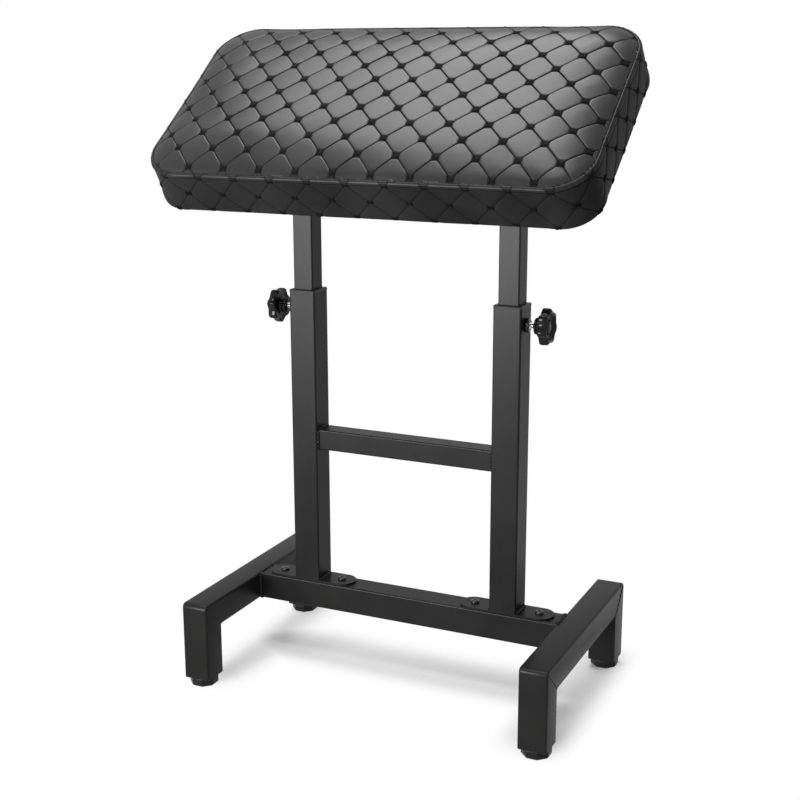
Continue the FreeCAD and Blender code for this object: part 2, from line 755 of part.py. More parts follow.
def loft(sections):
    # Straight sides are flat faces, and the corners are ruled between their arcs.
    wires = [padWire(inset, level) for inset, level in sections]
    faces = [Part.Face(wires[0]), Part.Face(wires[-1])]
    for lower, upper in zip(wires, wires[1:]):
        for first, second in zip(lower.OrderedEdges, upper.OrderedEdges):
            if isinstance(first.Curve, Part.Circle):
                faces.append(Part.makeRuledSurface(first, second))
                continue
            start, end = [item.Point for item in first.Vertexes]
            across = [item.Point for item in second.Vertexes]
            across.sort(key=start.distanceToPoint)
            faces.append(flatFace([start, end, across[1], across[0]]))
    return solidOf(faces)


def frustum(lower, upper):
    faces = [flatFace(lower), flatFace(upper)]
    for index, point in enumerate(lower):
        previous = index - 1
        faces.append(flatFace([lower[previous], point, upper[index], upper[previous]]))
    return solidOf(faces)


def diamond(centre, inset, cutOff, level):
    # One cell of the quilt, drawn in by the groove and cut off at the knots.
    halfX = dim.quilt_pitch_x.value / 2
    halfY = dim.quilt_pitch_y.value / 2
    scale = 1 - inset * math.hypot(halfX, halfY) / (halfX * halfY)
    endX = halfX - cutOff
    endY = halfY - cutOff
    sideY = halfY * (scale - endX / halfX)
    sideX = halfX * (scale - endY / halfY)
    corners = [(endX, -sideY), (endX, sideY), (sideX, endY), (-sideX, endY), (-endX, sideY),
               (-endX, -sideY), (-sideX, -endY), (sideX, -endY)]
    return [FreeCAD.Vector(centre[0] + x, centre[1] + y, level) for x, y in corners]


def quiltCentres():
    # Cells lie on staggered rows, set out from one measured knot of the quilt.
    pitchX = dim.quilt_pitch_x.value
    pitchY = dim.quilt_pitch_y.value
    reachX = dim.pad_width.value / 2 + dim.knot_cut.value
    reachY = dim.pad_depth.value / 2 + dim.knot_cut.value
    columns = math.ceil(2 * reachX / pitchX)
    rows = math.ceil(4 * reachY / pitchY)
    for row in range(-rows, rows):
        y = dim.quilt_start_y.value + pitchY * row / 2
        for column in range(-columns, columns):
            x = dim.quilt_start_x.value + pitchX * (column + (row % 2) / 2 + 1 / 2)
            if abs(x) < reachX and abs(y) < reachY:
                yield x, y


def makeQuiltedCover():
    # The cover with its wadding: a drawn-in side band, a raised seam, and a crowned top panel
    # whose quilted cells stand between sewn grooves, cut back where the knots are sewn.
    seam = seamLevel.value
    bottom = [(dim.bottom_round.value * insetShare, seam - dim.pad_side.value * depthShare)
              for depthShare, insetShare in sideShares]
    ridgeHalf = dim.ridge_half.value
    ridgeRise = ridgeHalf * ridgeShare
    ridge = [(-dim.ridge_out.value, seam - ridgeHalf + ridgeRise),
             (-dim.ridge_out.value, seam + ridgeHalf - ridgeRise)]
    crown = crownSections(0)
    lowered = crownSections(dim.groove_depth.value)
    core = [item for item in lowered if item[1] > seam + 2 * ridgeHalf]
    shoulder = (dim.ridge_inside.value, seam + ridgeHalf)
    base = loft(bottom + ridge + [shoulder] + core)
    top = loft([(0, seam), *crown])
    cellFoot = seam + ridgeHalf
    mouth = seam + dim.crown.value
    high = mouth + dim.overrun.value
    slope = (dim.groove_mouth.value - dim.groove_foot.value) / (mouth - cellFoot)
    outInset = dim.groove_mouth.value + slope * (high - mouth)
    cells = []
    knot = dim.knot_cut.value
    for centre in quiltCentres():
        lower = diamond(centre, dim.groove_foot.value, knot, cellFoot)
        cells.append(frustum(lower, diamond(centre, outInset, knot, high)))
    pillows = top.common(Part.makeCompound(cells))
    cover = base.fuse([solid for solid in pillows.Solids if solid.Volume > knot ** 3])
    inside = Part.Face(padWire(dim.cover_wall.value, dim.hinge_to_pad.value + dim.hem.value))
    cover = cover.cut(inside.extrude(FreeCAD.Vector(0, 0, dim.pad_side.value - dim.hem.value)))
    opening = Part.Face(padWire(dim.hem_width.value, dim.hinge_to_pad.value - dim.overrun.value))
    cover = cover.cut(opening.extrude(FreeCAD.Vector(0, 0, 2 * dim.overrun.value)))
    body = doc.addObject("Part::Feature", "quilted_cover")
    body.Label = "quilted_cover"
    body.Shape = cover.Solids[0] if len(cover.Solids) == 1 else cover
    placeTilted(body)
    return body


pieces = []
for side in (-1, 1):
    pieces += [makeFootFrame(side), makeFlangePlate(side), makeOuterTube(side)]
    pieces += [makeGuideBush(side), makeClampNut(side), makeClampStud(side), makeClampKnob(side)]
    pieces += [makeInnerPost(side), makeGlidePlug(side), makePostCap(side), makePadBracket(side)]
    for end in (-1, 1):
        pieces += [makeLegInsert(side, end), makeFootStud(side, end), makeFootBase(side, end)]
pieces += [makeCrossbar(), makeMidCrossbar(), makeBeads()]
panScrew = makePanScrew()
onPlate = screwPlaces(dim.base_top + dim.plate_thickness)
pieces.append(group("flange_screws", [link(panScrew, **spot) for spot in onPlate]))
pieces += makeHingeHardware()
pieces += [*makeBoardLayers(), makeQuiltedCover()]
doc.recompute()

for item in doc.Objects:
    if "Invalid" in item.State or "Error" in item.State:
        raise RuntimeError(f"{item.Label} did not rebuild")
for piece in pieces:
    if piece.Shape.isNull() or not piece.Shape.isValid():
        raise RuntimeError(f"{piece.Label} has no valid shape")
for piece in pieces:
    piece.Shape.exportStep(f"parts/{piece.Label}.step")
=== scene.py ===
from math import ceil, cos, exp, hypot, pi, radians, sin, sqrt

import bpy
import numpy as np
from mathutils import Matrix, Vector
from mathutils.kdtree import KDTree


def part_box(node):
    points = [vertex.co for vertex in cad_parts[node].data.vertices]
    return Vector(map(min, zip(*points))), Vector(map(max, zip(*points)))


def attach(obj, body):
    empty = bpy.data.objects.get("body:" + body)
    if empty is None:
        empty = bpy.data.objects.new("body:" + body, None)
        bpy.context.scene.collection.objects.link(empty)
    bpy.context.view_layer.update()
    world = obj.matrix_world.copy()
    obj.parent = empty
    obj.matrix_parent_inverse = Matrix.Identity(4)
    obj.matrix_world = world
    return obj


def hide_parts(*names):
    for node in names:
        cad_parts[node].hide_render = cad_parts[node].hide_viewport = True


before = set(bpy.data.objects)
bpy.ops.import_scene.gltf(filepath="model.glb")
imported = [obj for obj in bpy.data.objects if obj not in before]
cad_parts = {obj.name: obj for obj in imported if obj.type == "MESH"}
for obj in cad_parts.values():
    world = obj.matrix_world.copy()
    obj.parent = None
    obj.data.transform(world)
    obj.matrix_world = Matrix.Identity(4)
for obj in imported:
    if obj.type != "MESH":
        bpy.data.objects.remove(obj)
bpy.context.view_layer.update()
print("frame loaded,", len(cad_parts), "nodes")

# places that several pieces share, read from the frame
padTilt = 37.5
tubeLow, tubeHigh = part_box("left_outer_tube")
boltLow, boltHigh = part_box("hinge_bolts")
standY = (tubeLow.y + tubeHigh.y) / 2
uprightX = -(tubeLow.x + tubeHigh.x) / 2
hingeZ = (boltLow.z + boltHigh.z) / 2
padPlace = Matrix.Translation((0, standY, hingeZ)) @ Matrix.Rotation(radians(padTilt), 4, "X")
sideNames = {-1: "left", 1: "right"}
endNames = {-1: "front", 1: "back"}


# small helpers for the operators

def leaveEdit():
    bpy.ops.object.mode_set(mode="OBJECT")


def deselect():
    if bpy.context.mode != "OBJECT":
        leaveEdit()
    bpy.ops.object.select_all(action="DESELECT")


def pick(piece):
    deselect()
    piece.select_set(True)
    bpy.context.view_layer.objects.active = piece


def enterEdit(action="SELECT", kind=None):
    # into edit mode, with all of the mesh selected or none
    bpy.ops.object.mode_set(mode="EDIT")
    if kind:
        bpy.ops.mesh.select_mode(type=kind)
    bpy.ops.mesh.select_all(action=action)


def selectParts(piece, kind, chosen):
    # leaves the piece in edit mode with the chosen parts selected
    pick(piece)
    enterEdit("DESELECT", kind)
    leaveEdit()
    data = piece.data
    parts = {"VERT": data.vertices, "EDGE": data.edges, "FACE": data.polygons}[kind]
    parts.foreach_set("select", chosen)
    bpy.ops.object.mode_set(mode="EDIT")


def extrude(x, y, z):
    bpy.ops.mesh.extrude_region_move(TRANSFORM_OT_translate={"value": (x, y, z)})


def added(name):
    piece = bpy.context.object
    piece.name = name
    piece.data.name = name
    return piece


def readNumbers(parts, name, kind=int, width=1):
    numbers = np.zeros(len(parts) * width, kind)
    parts.foreach_get(name, numbers)
    return numbers


def readPoints(piece):
    return readNumbers(piece.data.vertices, "co", float, 3).reshape(-1, 3)


def writePoints(piece, points):
    piece.data.vertices.foreach_set("co", points.astype(np.float32).ravel())
    piece.data.update()


def settle(piece, place=None):
    # puts the place into the mesh and leaves the object at the origin
    if place is not None:
        piece.matrix_world = place @ piece.matrix_world
        bpy.context.view_layer.update()
    pick(piece)
    bpy.ops.object.transform_apply(location=True, rotation=True, scale=True)
    return piece


def outward(piece):
    # merges what coincides and turns the faces outwards
    pick(piece)
    enterEdit()
    bpy.ops.mesh.remove_doubles(threshold=0.00002)
    bpy.ops.mesh.normals_make_consistent(inside=False)
    leaveEdit()
    return piece


def modify(piece, kind, **settings):
    pick(piece)
    modifier = piece.modifiers.new(kind.title(), kind)
    for name, value in settings.items():
        setattr(modifier, name, value)
    bpy.ops.object.modifier_apply(modifier=modifier.name)
    return piece


def bevelSharp(piece, width, degrees, segments=2):
    return modify(piece, "BEVEL", width=width, segments=segments, limit_method="ANGLE",
                  angle_limit=radians(degrees))


def soften(piece, degrees=35):
    pick(piece)
    bpy.ops.object.shade_smooth_by_angle(angle=radians(degrees))
    return piece


def copyOf(piece, name, place):
    other = piece.copy()
    other.data = piece.data.copy()
    other.name = name
    other.data.name = name
    bpy.context.collection.objects.link(other)
    other.data.transform(place)
    return other


def joined(pieces, name):
    deselect()
    for piece in pieces:
        piece.select_set(True)
    bpy.context.view_layer.objects.active = pieces[0]
    bpy.ops.object.join()
    return added(name)


def drop(*pieces):
    for piece in pieces:
        bpy.data.objects.remove(piece)


def smoothStep(value):
    share = np.clip(value, 0, 1)
    return share * share * (3 - 2 * share)


# shader maths

def forward(operation):
    return lambda wire, *others: wire.finish.maths(operation, wire, *others)


def reflected(operation):
    return lambda wire, other: wire.finish.maths(operation, other, wire)


class Wire:
    # an output socket whose maths is written as a plain expression
    def __init__(self, finish, socket):
        self.finish = finish
        self.socket = socket

    __add__, __radd__ = forward("ADD"), reflected("ADD")
    __sub__, __rsub__ = forward("SUBTRACT"), reflected("SUBTRACT")
    __mul__, __rmul__ = forward("MULTIPLY"), reflected("MULTIPLY")
    __pow__, __abs__ = forward("POWER"), forward("ABSOLUTE")


class Finish:
    # a material, or the world, that is built up node by node
    def __init__(self, name, owner=None):
        self.owner = owner or bpy.data.materials.new(name)
        self.owner.use_nodes = True
        self.tree = self.owner.node_tree
        self.tree.nodes.clear()

    def node(self, kind, sockets=None, give=0, **settings):
        made = self.tree.nodes.new("ShaderNode" + kind)
        for name, value in settings.items():
            setattr(made, name, value)
        for key, value in (sockets or {}).items():
            if isinstance(value, Wire):
                self.tree.links.new(value.socket, made.inputs[key])
            else:
                made.inputs[key].default_value = value
        return Wire(self, made.outputs[give])

    def maths(self, operation, *values):
        return self.node("Math", dict(enumerate(values)), operation=operation)

    def greater(self, first, *others):
        for other in others:
            first = self.maths("MAXIMUM", first, other)
        return first

    def ramp(self, factor, low, high, first=0, last=1):
        # a smooth step from first at low to last at high
        ends = {"From Min": low, "From Max": high, "To Min": first, "To Max": last}
        return self.node("MapRange", {"Value": factor} | ends, interpolation_type="SMOOTHSTEP")

    def blend(self, factor, first, second):
        # the Mix node has sockets for numbers and vectors before those for colours
        return self.node("Mix", {0: factor, 6: first, 7: second}, 2, data_type="RGBA")

    def place(self):
        return self.node("TexCoord", give=3)

    def parts(self, vector):
        # a vector's first two numbers
        return [self.node("SeparateXYZ", {"Vector": vector}, axis) for axis in (0, 1)]

    def mark(self, name):
        return self.node("Attribute", give=2, attribute_name=name)

    def clouds(self, scale, detail, at=None):
        return self.node("TexNoise", {"Vector": at or self.place(), "Scale": scale, "Detail": detail,
                                      "Roughness": 0.5})

    def cells(self, scale, feature="F1", jitter=1):
        return self.node("TexVoronoi", {"Vector": self.place(), "Scale": scale,
                                        "Randomness": jitter}, feature=feature)

    def bump(self, height, distance, strength):
        return self.node("Bump", {"Height": height, "Distance": distance, "Strength": strength})

    def surface(self, **sockets):
        names = {"colour": "Base Color", "rough": "Roughness", "metal": "Metallic",
                 "normal": "Normal", "coat": "Coat Weight", "coatRough": "Coat Roughness",
                 "gloss": "Specular IOR Level"}
        return self.finished(self.node("BsdfPrincipled", {
            names[name]: value for name, value in sockets.items()}))

    def finished(self, shader, output="OutputMaterial"):
        self.tree.links.new(shader.socket, self.tree.nodes.new("ShaderNode" + output).inputs["Surface"])
        return self.owner


def grey(value, warm=0.0):
    return (value * (1 + warm), value, value * (1 - warm), 1)


# finishes

def makePowderCoat():
    # satin black with a fine orange peel, under a thin clear skin
    values = {"dark": 0.0060, "pale": 0.0095, "rough": 0.40, "peel": 0.00005, "coat": 0.20}
    made = Finish("powder_coat")
    wide = made.clouds(9, 3)
    fine = made.clouds(420, 2)
    speck = made.clouds(1500, 1)
    colour = made.blend(made.ramp(wide, 0.35, 0.65), grey(values["dark"], 0.02),
                        grey(values["pale"], 0.02))
    rough = values["rough"] + 0.10 * (fine - 0.5) + 0.08 * (wide - 0.5)
    peel = made.bump(fine + 0.5 * speck, values["peel"], 0.7)
    coat = values["coat"] * (0.8 + 0.25 * fine + 0.15 * wide)
    return made.surface(colour=colour, rough=rough, normal=peel, gloss=0.025, coat=coat, coatRough=0.32)


def makeLeatherette():
    # pebbled leatherette; the quilt's lines are sewn through it with a darker thread, and that dark colour,
    # spread along the channels and seams, is also painted shade
    values = {"dark": 0.011, "pale": 0.017, "thread": 0.003, "rough": 0.40, "line": 0.022,
              "stitches": 12, "knot": 0.26, "dull": 0.03, "shine": 0.39, "relief": 0.00012}
    made = Finish("leatherette")
    pebble = made.cells(900)
    crease = made.cells(520, "DISTANCE_TO_EDGE")
    wide = made.clouds(14, 3)
    first, second = made.parts(made.node("UVMap", uv_map="quilt"))
    toFirst = abs(made.maths("FRACT", first + 0.5) - 0.5)
    toSecond = abs(made.maths("FRACT", second + 0.5) - 0.5)
    nearest = made.maths("MINIMUM", toFirst, toSecond)
    # the channel lines darken as thread and as painted shade in the channels, and the seam mark adds the
    # same along the seams
    line = 0.8 * made.ramp(nearest, values["line"] * 0.35, values["line"], 1, 0)
    sewnAndShaded = made.greater(line, made.mark("seam_line_shade") ** 2.5)
    dashes = made.maths("SINE", (first + second) * (values["stitches"] * 2 * pi))
    leather = made.blend(made.ramp(wide, 0.3, 0.7), grey(values["dark"], 0.01), grey(values["pale"], 0.01))
    # thread colour over the lines: part thread, part painted shade
    colour = made.blend(sewnAndShaded * 0.9, leather, grey(values["thread"]))
    grain = made.ramp(crease, 0.0, 0.12) - 0.35 * pebble
    height = grain * (1 - sewnAndShaded) - 2.2 * sewnAndShaded + 0.8 * sewnAndShaded * dashes
    rough = values["rough"] + 0.10 * (wide - 0.5) + 0.05 * (1 - made.ramp(crease, 0, 0.1)) + 0.45 * sewnAndShaded
    # the top shines most, the ridge half as much, and the rest hardly
    openLeather = made.ramp(toFirst + toSecond, values["knot"] * 0.6, values["knot"])
    coat = (values["dull"] + values["shine"] * made.mark("polish")) * (1 - sewnAndShaded) * openLeather \
        * (0.9 + 0.1 * grain)
    return made.surface(colour=colour, rough=rough, normal=made.bump(height, values["relief"], 0.5),
                        gloss=0.01, coat=coat, coatRough=0.34)


def makeKnobPlastic():
    made = Finish("knob_plastic")
    fine = made.clouds(260, 2)
    wide = made.clouds(30, 2)
    colour = made.blend(wide, grey(0.004), grey(0.007))
    return made.surface(colour=colour, rough=0.30 + 0.08 * (fine - 0.5) + 0.06 * wide,
                        normal=made.bump(fine, 0.00003, 0.4), gloss=0.02,
                        coat=0.24 + 0.05 * fine, coatRough=0.10)


def makeGrained(name, grain, patches, colours, rough, bump, **others):
    # the fine grain and the wide patches have a scale and a detail each
    made = Finish(name)
    fine = made.clouds(*grain)
    return made.surface(colour=made.blend(made.clouds(*patches), *colours),
                        rough=rough[0] + rough[1] * (fine - 0.5), normal=made.bump(fine, *bump),
                        **others)


def makeBlackPlastic(name, shade, rough):
    return makeGrained(name, (1300, 2), (40, 2), (grey(shade * 0.8), grey(shade * 1.3)),
                       (rough, 0.08), (0.00005, 0.6), gloss=0.12)


def makePlywood():
    made = Finish("plywood")
    stretched = made.node("Mapping", {"Vector": made.place(), "Scale": (6, 60, 200)}, vector_type="POINT")
    grainLines = made.clouds(3, 4, stretched)
    colour = made.blend(grainLines, (0.42, 0.27, 0.14, 1), (0.60, 0.43, 0.25, 1))
    return made.surface(colour=colour, rough=0.65 + 0.1 * grainLines,
                        normal=made.bump(grainLines, 0.0001, 0.4))


def makeFoam():
    made = Finish("foam")
    pores = made.cells(1200)
    colour = made.blend(pores, (0.30, 0.29, 0.26, 1), (0.45, 0.44, 0.40, 1))
    return made.surface(colour=colour, rough=0.85 + 0.1 * pores, normal=made.bump(pores, 0.0002, 0.6))


def makeDustCloth():
    # non-woven cloth with its pressed dots
    made = Finish("dust_cloth")
    dots = made.ramp(made.cells(700, jitter=0.25), 0.2, 0.5)
    fibre = made.clouds(1800, 3)
    colour = made.blend(dots, grey(0.012), grey(0.028))
    return made.surface(colour=colour, rough=0.80 + 0.12 * (fibre - 0.5),
                        normal=made.bump(dots + 0.5 * fibre, 0.00012, 0.6), gloss=0.2)


finishes = {made.name.split(".")[0]: made for made in (
    makePowderCoat(), makeLeatherette(), makeKnobPlastic(),
    makeBlackPlastic("bush_plastic", 0.018, 0.40), makeBlackPlastic("black_plastic", 0.008, 0.34),
    makeGrained("zinc_steel", (600, 3), (60, 2), (grey(0.68, 0.01), grey(0.82, 0.01)),
                (0.20, 0.14), (0.00003, 0.4), metal=1.0),
    makeGrained("black_steel", (700, 3), (80, 2), (grey(0.006), grey(0.014)), (0.22, 0.14),
                (0.00005, 0.5), gloss=0.30),
    makePlywood(), makeFoam(), makeDustCloth(),
    makeGrained("sewing_thread", (2600, 2), (2600, 2), (grey(0.002), grey(0.005)), (0.80, 0.2),
                (0.00008, 0.7), gloss=0.05))}


def dress(piece, finish, body):
    piece.data.materials.clear()
    piece.data.materials.append(finishes[finish])
    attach(piece, body)
    return piece


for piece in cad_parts.values():
    for place in piece.material_slots:
        wanted = place.material.name.split(".")[0]
        place.link = "OBJECT"
        place.material = finishes[wanted]
print("finishes made,", len(finishes))


# the quilted cushion

pad = {
    "halfWidth": 0.310, "halfDepth": 0.155, "corner": 0.058, "cornerShare": 0.52,
    "underside": 0.035, "seam": 0.097, "lip": 0.0040, "ridge": 0.0055,
    "crownRoll": 0.090, "crownEdge": 0.0088, "crownEdgeRoll": 0.0175, "crownRise": 0.0060,
    "cellX": 0.05283, "cellY": 0.05462, "firstX": 0.2429, "firstY": -0.1467, "quiltTurn": -0.56,
    "across": 19, "middle": (-1.5, -7.5), "steps": 24, "crowd": 0.82,
    "puff": 0.0014, "dome": 0.0008, "knotClear": 0.0040, "cellEdge": 0.00048, "cellSoft": 0.0004,
    "edgeFade": 0.007, "uneven": 0.12, "leanFirst": 0.00022, "leanSecond": 0.00018, "wave": 0.0006,
    "bandCells": 33, "bandStart": 0.216, "bandRow": 0.0270, "bandFirst": 0.006,
    "bandPuff": 0.0011, "bandEdge": 0.0022, "bandPull": 0.0005, "bandFade": 0.003,
    "bandBottom": 0.0645, "cornerFull": 0.0052, "fullFrom": 0.006, "fullOver": 0.050,
    "foldPitch": 0.0075, "sideFold": 0.00030, "topFold": 0.00055,
    "knotRows": (0.006, 0.033, 0.0600), "knotUp": 0.0011, "knotEdge": 0.0055,
    "seamShadeWide": 0.0018, "ridgeRows": 6, "ridgeShine": 0.45,
}
# depth under the seam and inset of the side: the ridge, the band and the bottom roll
sideProfile = [(-0.0008, 0.0031), (-0.0006, 0.0021), (0.0002, 0.0009), (0.0014, 0.0),
               (0.0028, -0.0005), (0.0040, -0.0006), (0.0049, 0.0), (0.0055, 0.0018),
               (0.0061, 0.0008), (0.0070, 0.0003), (0.012, 0.0003), (0.031, 0.0008),
               (0.054, 0.0008), (0.0605, 0.0012), (0.0630, 0.0024), (0.0648, 0.0044),
               (0.0656, 0.0068), (0.0658, 0.0095)]
sideRows = [depth for depth, inset in sideProfile[:10]] + list(np.arange(0.0080, 0.0606, 0.0015)) \
    + [0.0618, 0.0630, 0.0640, 0.0648, 0.0653, 0.0656, 0.0658]
# the hem under the board: how far in, and how high over the underside
hemRows = [(0.0130, -0.0034), (0.0175, -0.0019), (0.0220, -0.0004), (0.0262, 0.0), (0.0262, 0.0012)]
straightX = 2 * (pad["halfWidth"] - pad["corner"])
straightY = 2 * (pad["halfDepth"] - pad["corner"])
quarterTurn = pad["corner"] * pi / 2
outlineLength = 2 * straightX + 2 * straightY + 4 * quarterTurn
bandCell = outlineLength / pad["bandCells"]
lineGap = 1 / hypot(1 / pad["cellX"], 1 / pad["cellY"])


def outlineInset(x, y):
    # how far inside the seam's outline a point of the pad lies
    apartX = np.abs(x) - straightX / 2
    apartY = np.abs(y) - straightY / 2
    outside = np.hypot(np.maximum(apartX, 0), np.maximum(apartY, 0))
    return pad["corner"] - outside - np.minimum(np.maximum(apartX, apartY), 0)


def onOutline(x, y):
    # the outline's centre of curve and outward direction at a point, and the length run
    coreX, coreY = straightX / 2, straightY / 2
    nearX, nearY = np.clip(x, -coreX, coreX), np.clip(y, -coreY, coreY)
    gapX, gapY = x - nearX, y - nearY
    inside = np.hypot(gapX, gapY) < 1e-9
    toSide = (pad["halfWidth"] - np.abs(x)) < (pad["halfDepth"] - np.abs(y))
    gapX = np.where(inside & toSide, np.sign(x), gapX)
    gapY = np.where(inside & ~toSide, np.sign(y), gapY)
    length = np.hypot(gapX, gapY)
    awayX, awayY = gapX / length, gapY / length
    # the run starts in the middle of the front side and goes towards +X
    turn = np.mod(np.arctan2(awayY, awayX) + pi / 2 + 1e-7, 2 * pi)
    side = np.floor(turn / (pi / 2)).astype(int)
    part = turn - side * pi / 2
    flat = part < 1e-5
    ends = np.cumsum([0, straightY, straightX, straightY]) + np.arange(4) * quarterTurn
    starts = (coreX + ends)[side]
    onFlat = np.choose(side, [nearX - coreX, nearY - coreY, -nearX - coreX, -nearY - coreY])
    run = starts + np.where(flat, onFlat, part * pad["corner"])
    return nearX, nearY, awayX, awayY, run


def outlineAt(run):
    # the same centre and direction, at a length run from the front's middle
    rest = (run + straightX / 2) % outlineLength
    for side in range(4):
        straight, other = (straightY, straightX) if side % 2 else (straightX, straightY)
        turn = side * pi / 2
        beyond = max(0, rest - straight)
        if beyond <= quarterTurn:
            away = Vector((sin(turn), -cos(turn), 0))
            ahead = Vector((cos(turn), sin(turn), 0))
            angle = turn + beyond / pad["corner"]
            centre = away * other / 2 + ahead * (min(rest, straight) - straight / 2)
            return centre, Vector((sin(angle), -cos(angle), 0))
        rest -= straight + quarterTurn


def toQuilt(x, y):
    # a point of the pad on the quilt's own two families of lines
    turn = radians(pad["quiltTurn"])
    apartX, apartY = x - pad["firstX"], y - pad["firstY"]
    p = (apartX * cos(turn) + apartY * sin(turn)) / pad["cellX"]
    q = (apartY * cos(turn) - apartX * sin(turn)) / pad["cellY"]
    return p + q, p - q


def fromQuilt(first, second):
    turn = radians(pad["quiltTurn"])
    reachX = (first + second) * pad["cellX"] / 2
    reachY = (first - second) * pad["cellY"] / 2
    return (pad["firstX"] + reachX * cos(turn) - reachY * sin(turn),
            pad["firstY"] + reachX * sin(turn) + reachY * cos(turn))


def toLine(value):
    return np.abs(value - np.round(value))


def cellShape(first, second, edge):
    # a sewn cell: 0 along the stitched lines and round the knots, 1 on its flat top
    soft = pad["cellSoft"]
    toFirst, toSecond = toLine(first) * lineGap, toLine(second) * lineGap
    toKnot = (toFirst + toSecond) / sqrt(2) - pad["knotClear"]
    nearest = -soft * np.log(np.exp(-toFirst / soft) + np.exp(-toSecond / soft) + np.exp(-toKnot / soft))
    return 1 - np.exp(-np.maximum(nearest, 0) / edge)


def topHeight(x, y):
    # height of the top panel over the seam
    inset = np.maximum(outlineInset(x, y) - pad["lip"], 0)
    share = np.clip(inset / pad["crownRoll"], 0, 1)
    crown = pad["crownEdge"] * (1 - np.exp(-inset / pad["crownEdgeRoll"])) \
        + pad["crownRise"] * (1 - (1 - share) ** 2)
    first, second = toQuilt(x, y)
    pillow = cellShape(first, second, pad["cellEdge"])
    # no two cells are filled or lie quite alike
    cellNumber = np.floor(first) * 7.31 + np.floor(second) * 3.77
    filled = 1 + pad["uneven"] * np.sin(cellNumber * 12.9898)
    lean = pad["leanFirst"] * np.sin(first * 2.1 + cellNumber) \
        + pad["leanSecond"] * np.sin(second * 2.7 - cellNumber)
    middle = (1 - 2 * toLine(first)) ** 2 + (1 - 2 * toLine(second)) ** 2
    rise = pad["puff"] * filled * (pillow - 0.92) + (pad["dome"] * (1 - middle / 2) + lean) * pillow
    wave = pad["wave"] * np.sin(x * 19 + 1.3) * np.sin(y * 31 + 0.4)
    return crown + (rise + wave) * smoothStep(inset / pad["edgeFade"])


def bandInset(depth):
    # how far the side is drawn in at a depth
    return np.interp(depth, *zip(*sideProfile))


def bandLines(run, depth):
    # a point of the side on its quilt's two families of lines
    p = (run + pad["bandStart"]) / bandCell
    q = (depth - pad["bandFirst"]) / (2 * pad["bandRow"])
    return p + q, p - q


def bandOut(run, depth):
    # how far the band's cells stand out from its plain surface
    pillow = cellShape(*bandLines(run, depth), pad["bandEdge"])
    fade = np.clip((depth - pad["ridge"] - 0.0008) / pad["bandFade"], 0, 1) \
        * np.clip((pad["bandBottom"] - depth) / pad["bandFade"], 0, 1)
    pull = pad["bandPull"] * np.sin(run * 37 + 0.7) * np.sin(depth * 60)
    return (pad["bandPuff"] * (pillow - 0.75) + pull) * fade


def cornerOut(awayX, awayY, depth):
    # the band's corners are fuller towards the bottom
    share = np.clip((depth - pad["fullFrom"]) / pad["fullOver"], 0, 1)
    return pad["cornerFull"] * 2 * np.abs(awayX * awayY) * share


def cornerGather(run):
    # small gathers where the seam turns the corners
    part = (run + straightX / 2) % outlineLength
    fold = 0
    start = straightX
    for side in range(4):
        middle = start + quarterTurn / 2
        near = np.exp(-((part - middle) / (quarterTurn * 0.42)) ** 2)
        fold = fold + near * np.sin(part * 2 * pi / pad["foldPitch"] + side)
        start += quarterTurn + (straightY if side % 2 == 0 else straightX)
    return fold


def simulateSwell(piece):
    # the form as a cloth skin that its filling presses outwards, held by the board below
    sizes = {"voxel": 0.006, "frames": 20, "most": 0.0030, "held": 0.012}
    settings = {"quality": 6, "mass": 0.3, "tension_stiffness": 30, "compression_stiffness": 30,
                "shear_stiffness": 12, "bending_stiffness": 4, "use_pressure": True,
                "uniform_pressure_force": 4, "vertex_group_mass": "held"}
    form = copyOf(piece, "swell_form", Matrix())
    modify(form, "REMESH", mode="VOXEL", voxel_size=sizes["voxel"])
    modify(form, "SMOOTH", factor=0.5, iterations=8)
    before = readPoints(form)
    low = np.flatnonzero(before[:, 2] < pad["underside"] + sizes["held"])
    form.vertex_groups.new(name="held").add(low.tolist(), 1, "REPLACE")
    pick(form)
    cloth = form.modifiers.new("Cloth", "CLOTH")
    for name, value in settings.items():
        setattr(cloth.settings, name, value)
    cloth.settings.effector_weights.gravity = 0
    cloth.collision_settings.use_collision = False
    cloth.point_cache.frame_end = sizes["frames"]
    for number in range(1, sizes["frames"] + 1):
        bpy.context.scene.frame_set(number)
    bpy.ops.object.modifier_apply(modifier=cloth.name)
    moved = readPoints(form) - before
    drop(form)
    bpy.context.scene.frame_set(1)
    far = np.percentile(np.linalg.norm(moved, axis=1), 98)
    print("swell simulated,", len(before), "points,", round(far * 1000, 2), "mm")
    tree = KDTree(len(before))
    for index, point in enumerate(before):
        tree.insert(point, index)
    tree.balance()
    return tree, moved * min(1, sizes["most"] / far)


def swellAt(points, swell):
    # the simulated motion at any points of the pad, none at the underside
    if swell is None:
        return np.zeros_like(points)
    sizes = {"near": 6, "blur": 0.003, "still": 0.002, "over": 0.016}
    tree, moved = swell
    found = [tree.find_n(point, sizes["near"]) for point in points]
    index = np.array([[near[1] for near in row] for row in found])
    weight = 1 / (np.array([[near[2] for near in row] for row in found]) + sizes["blur"])
    motion = (moved[index] * weight[:, :, None]).sum(axis=1) / weight.sum(axis=1)[:, None]
    up = points[:, 2] - pad["underside"] - sizes["still"]
    return motion * smoothStep(up / sizes["over"])[:, None]


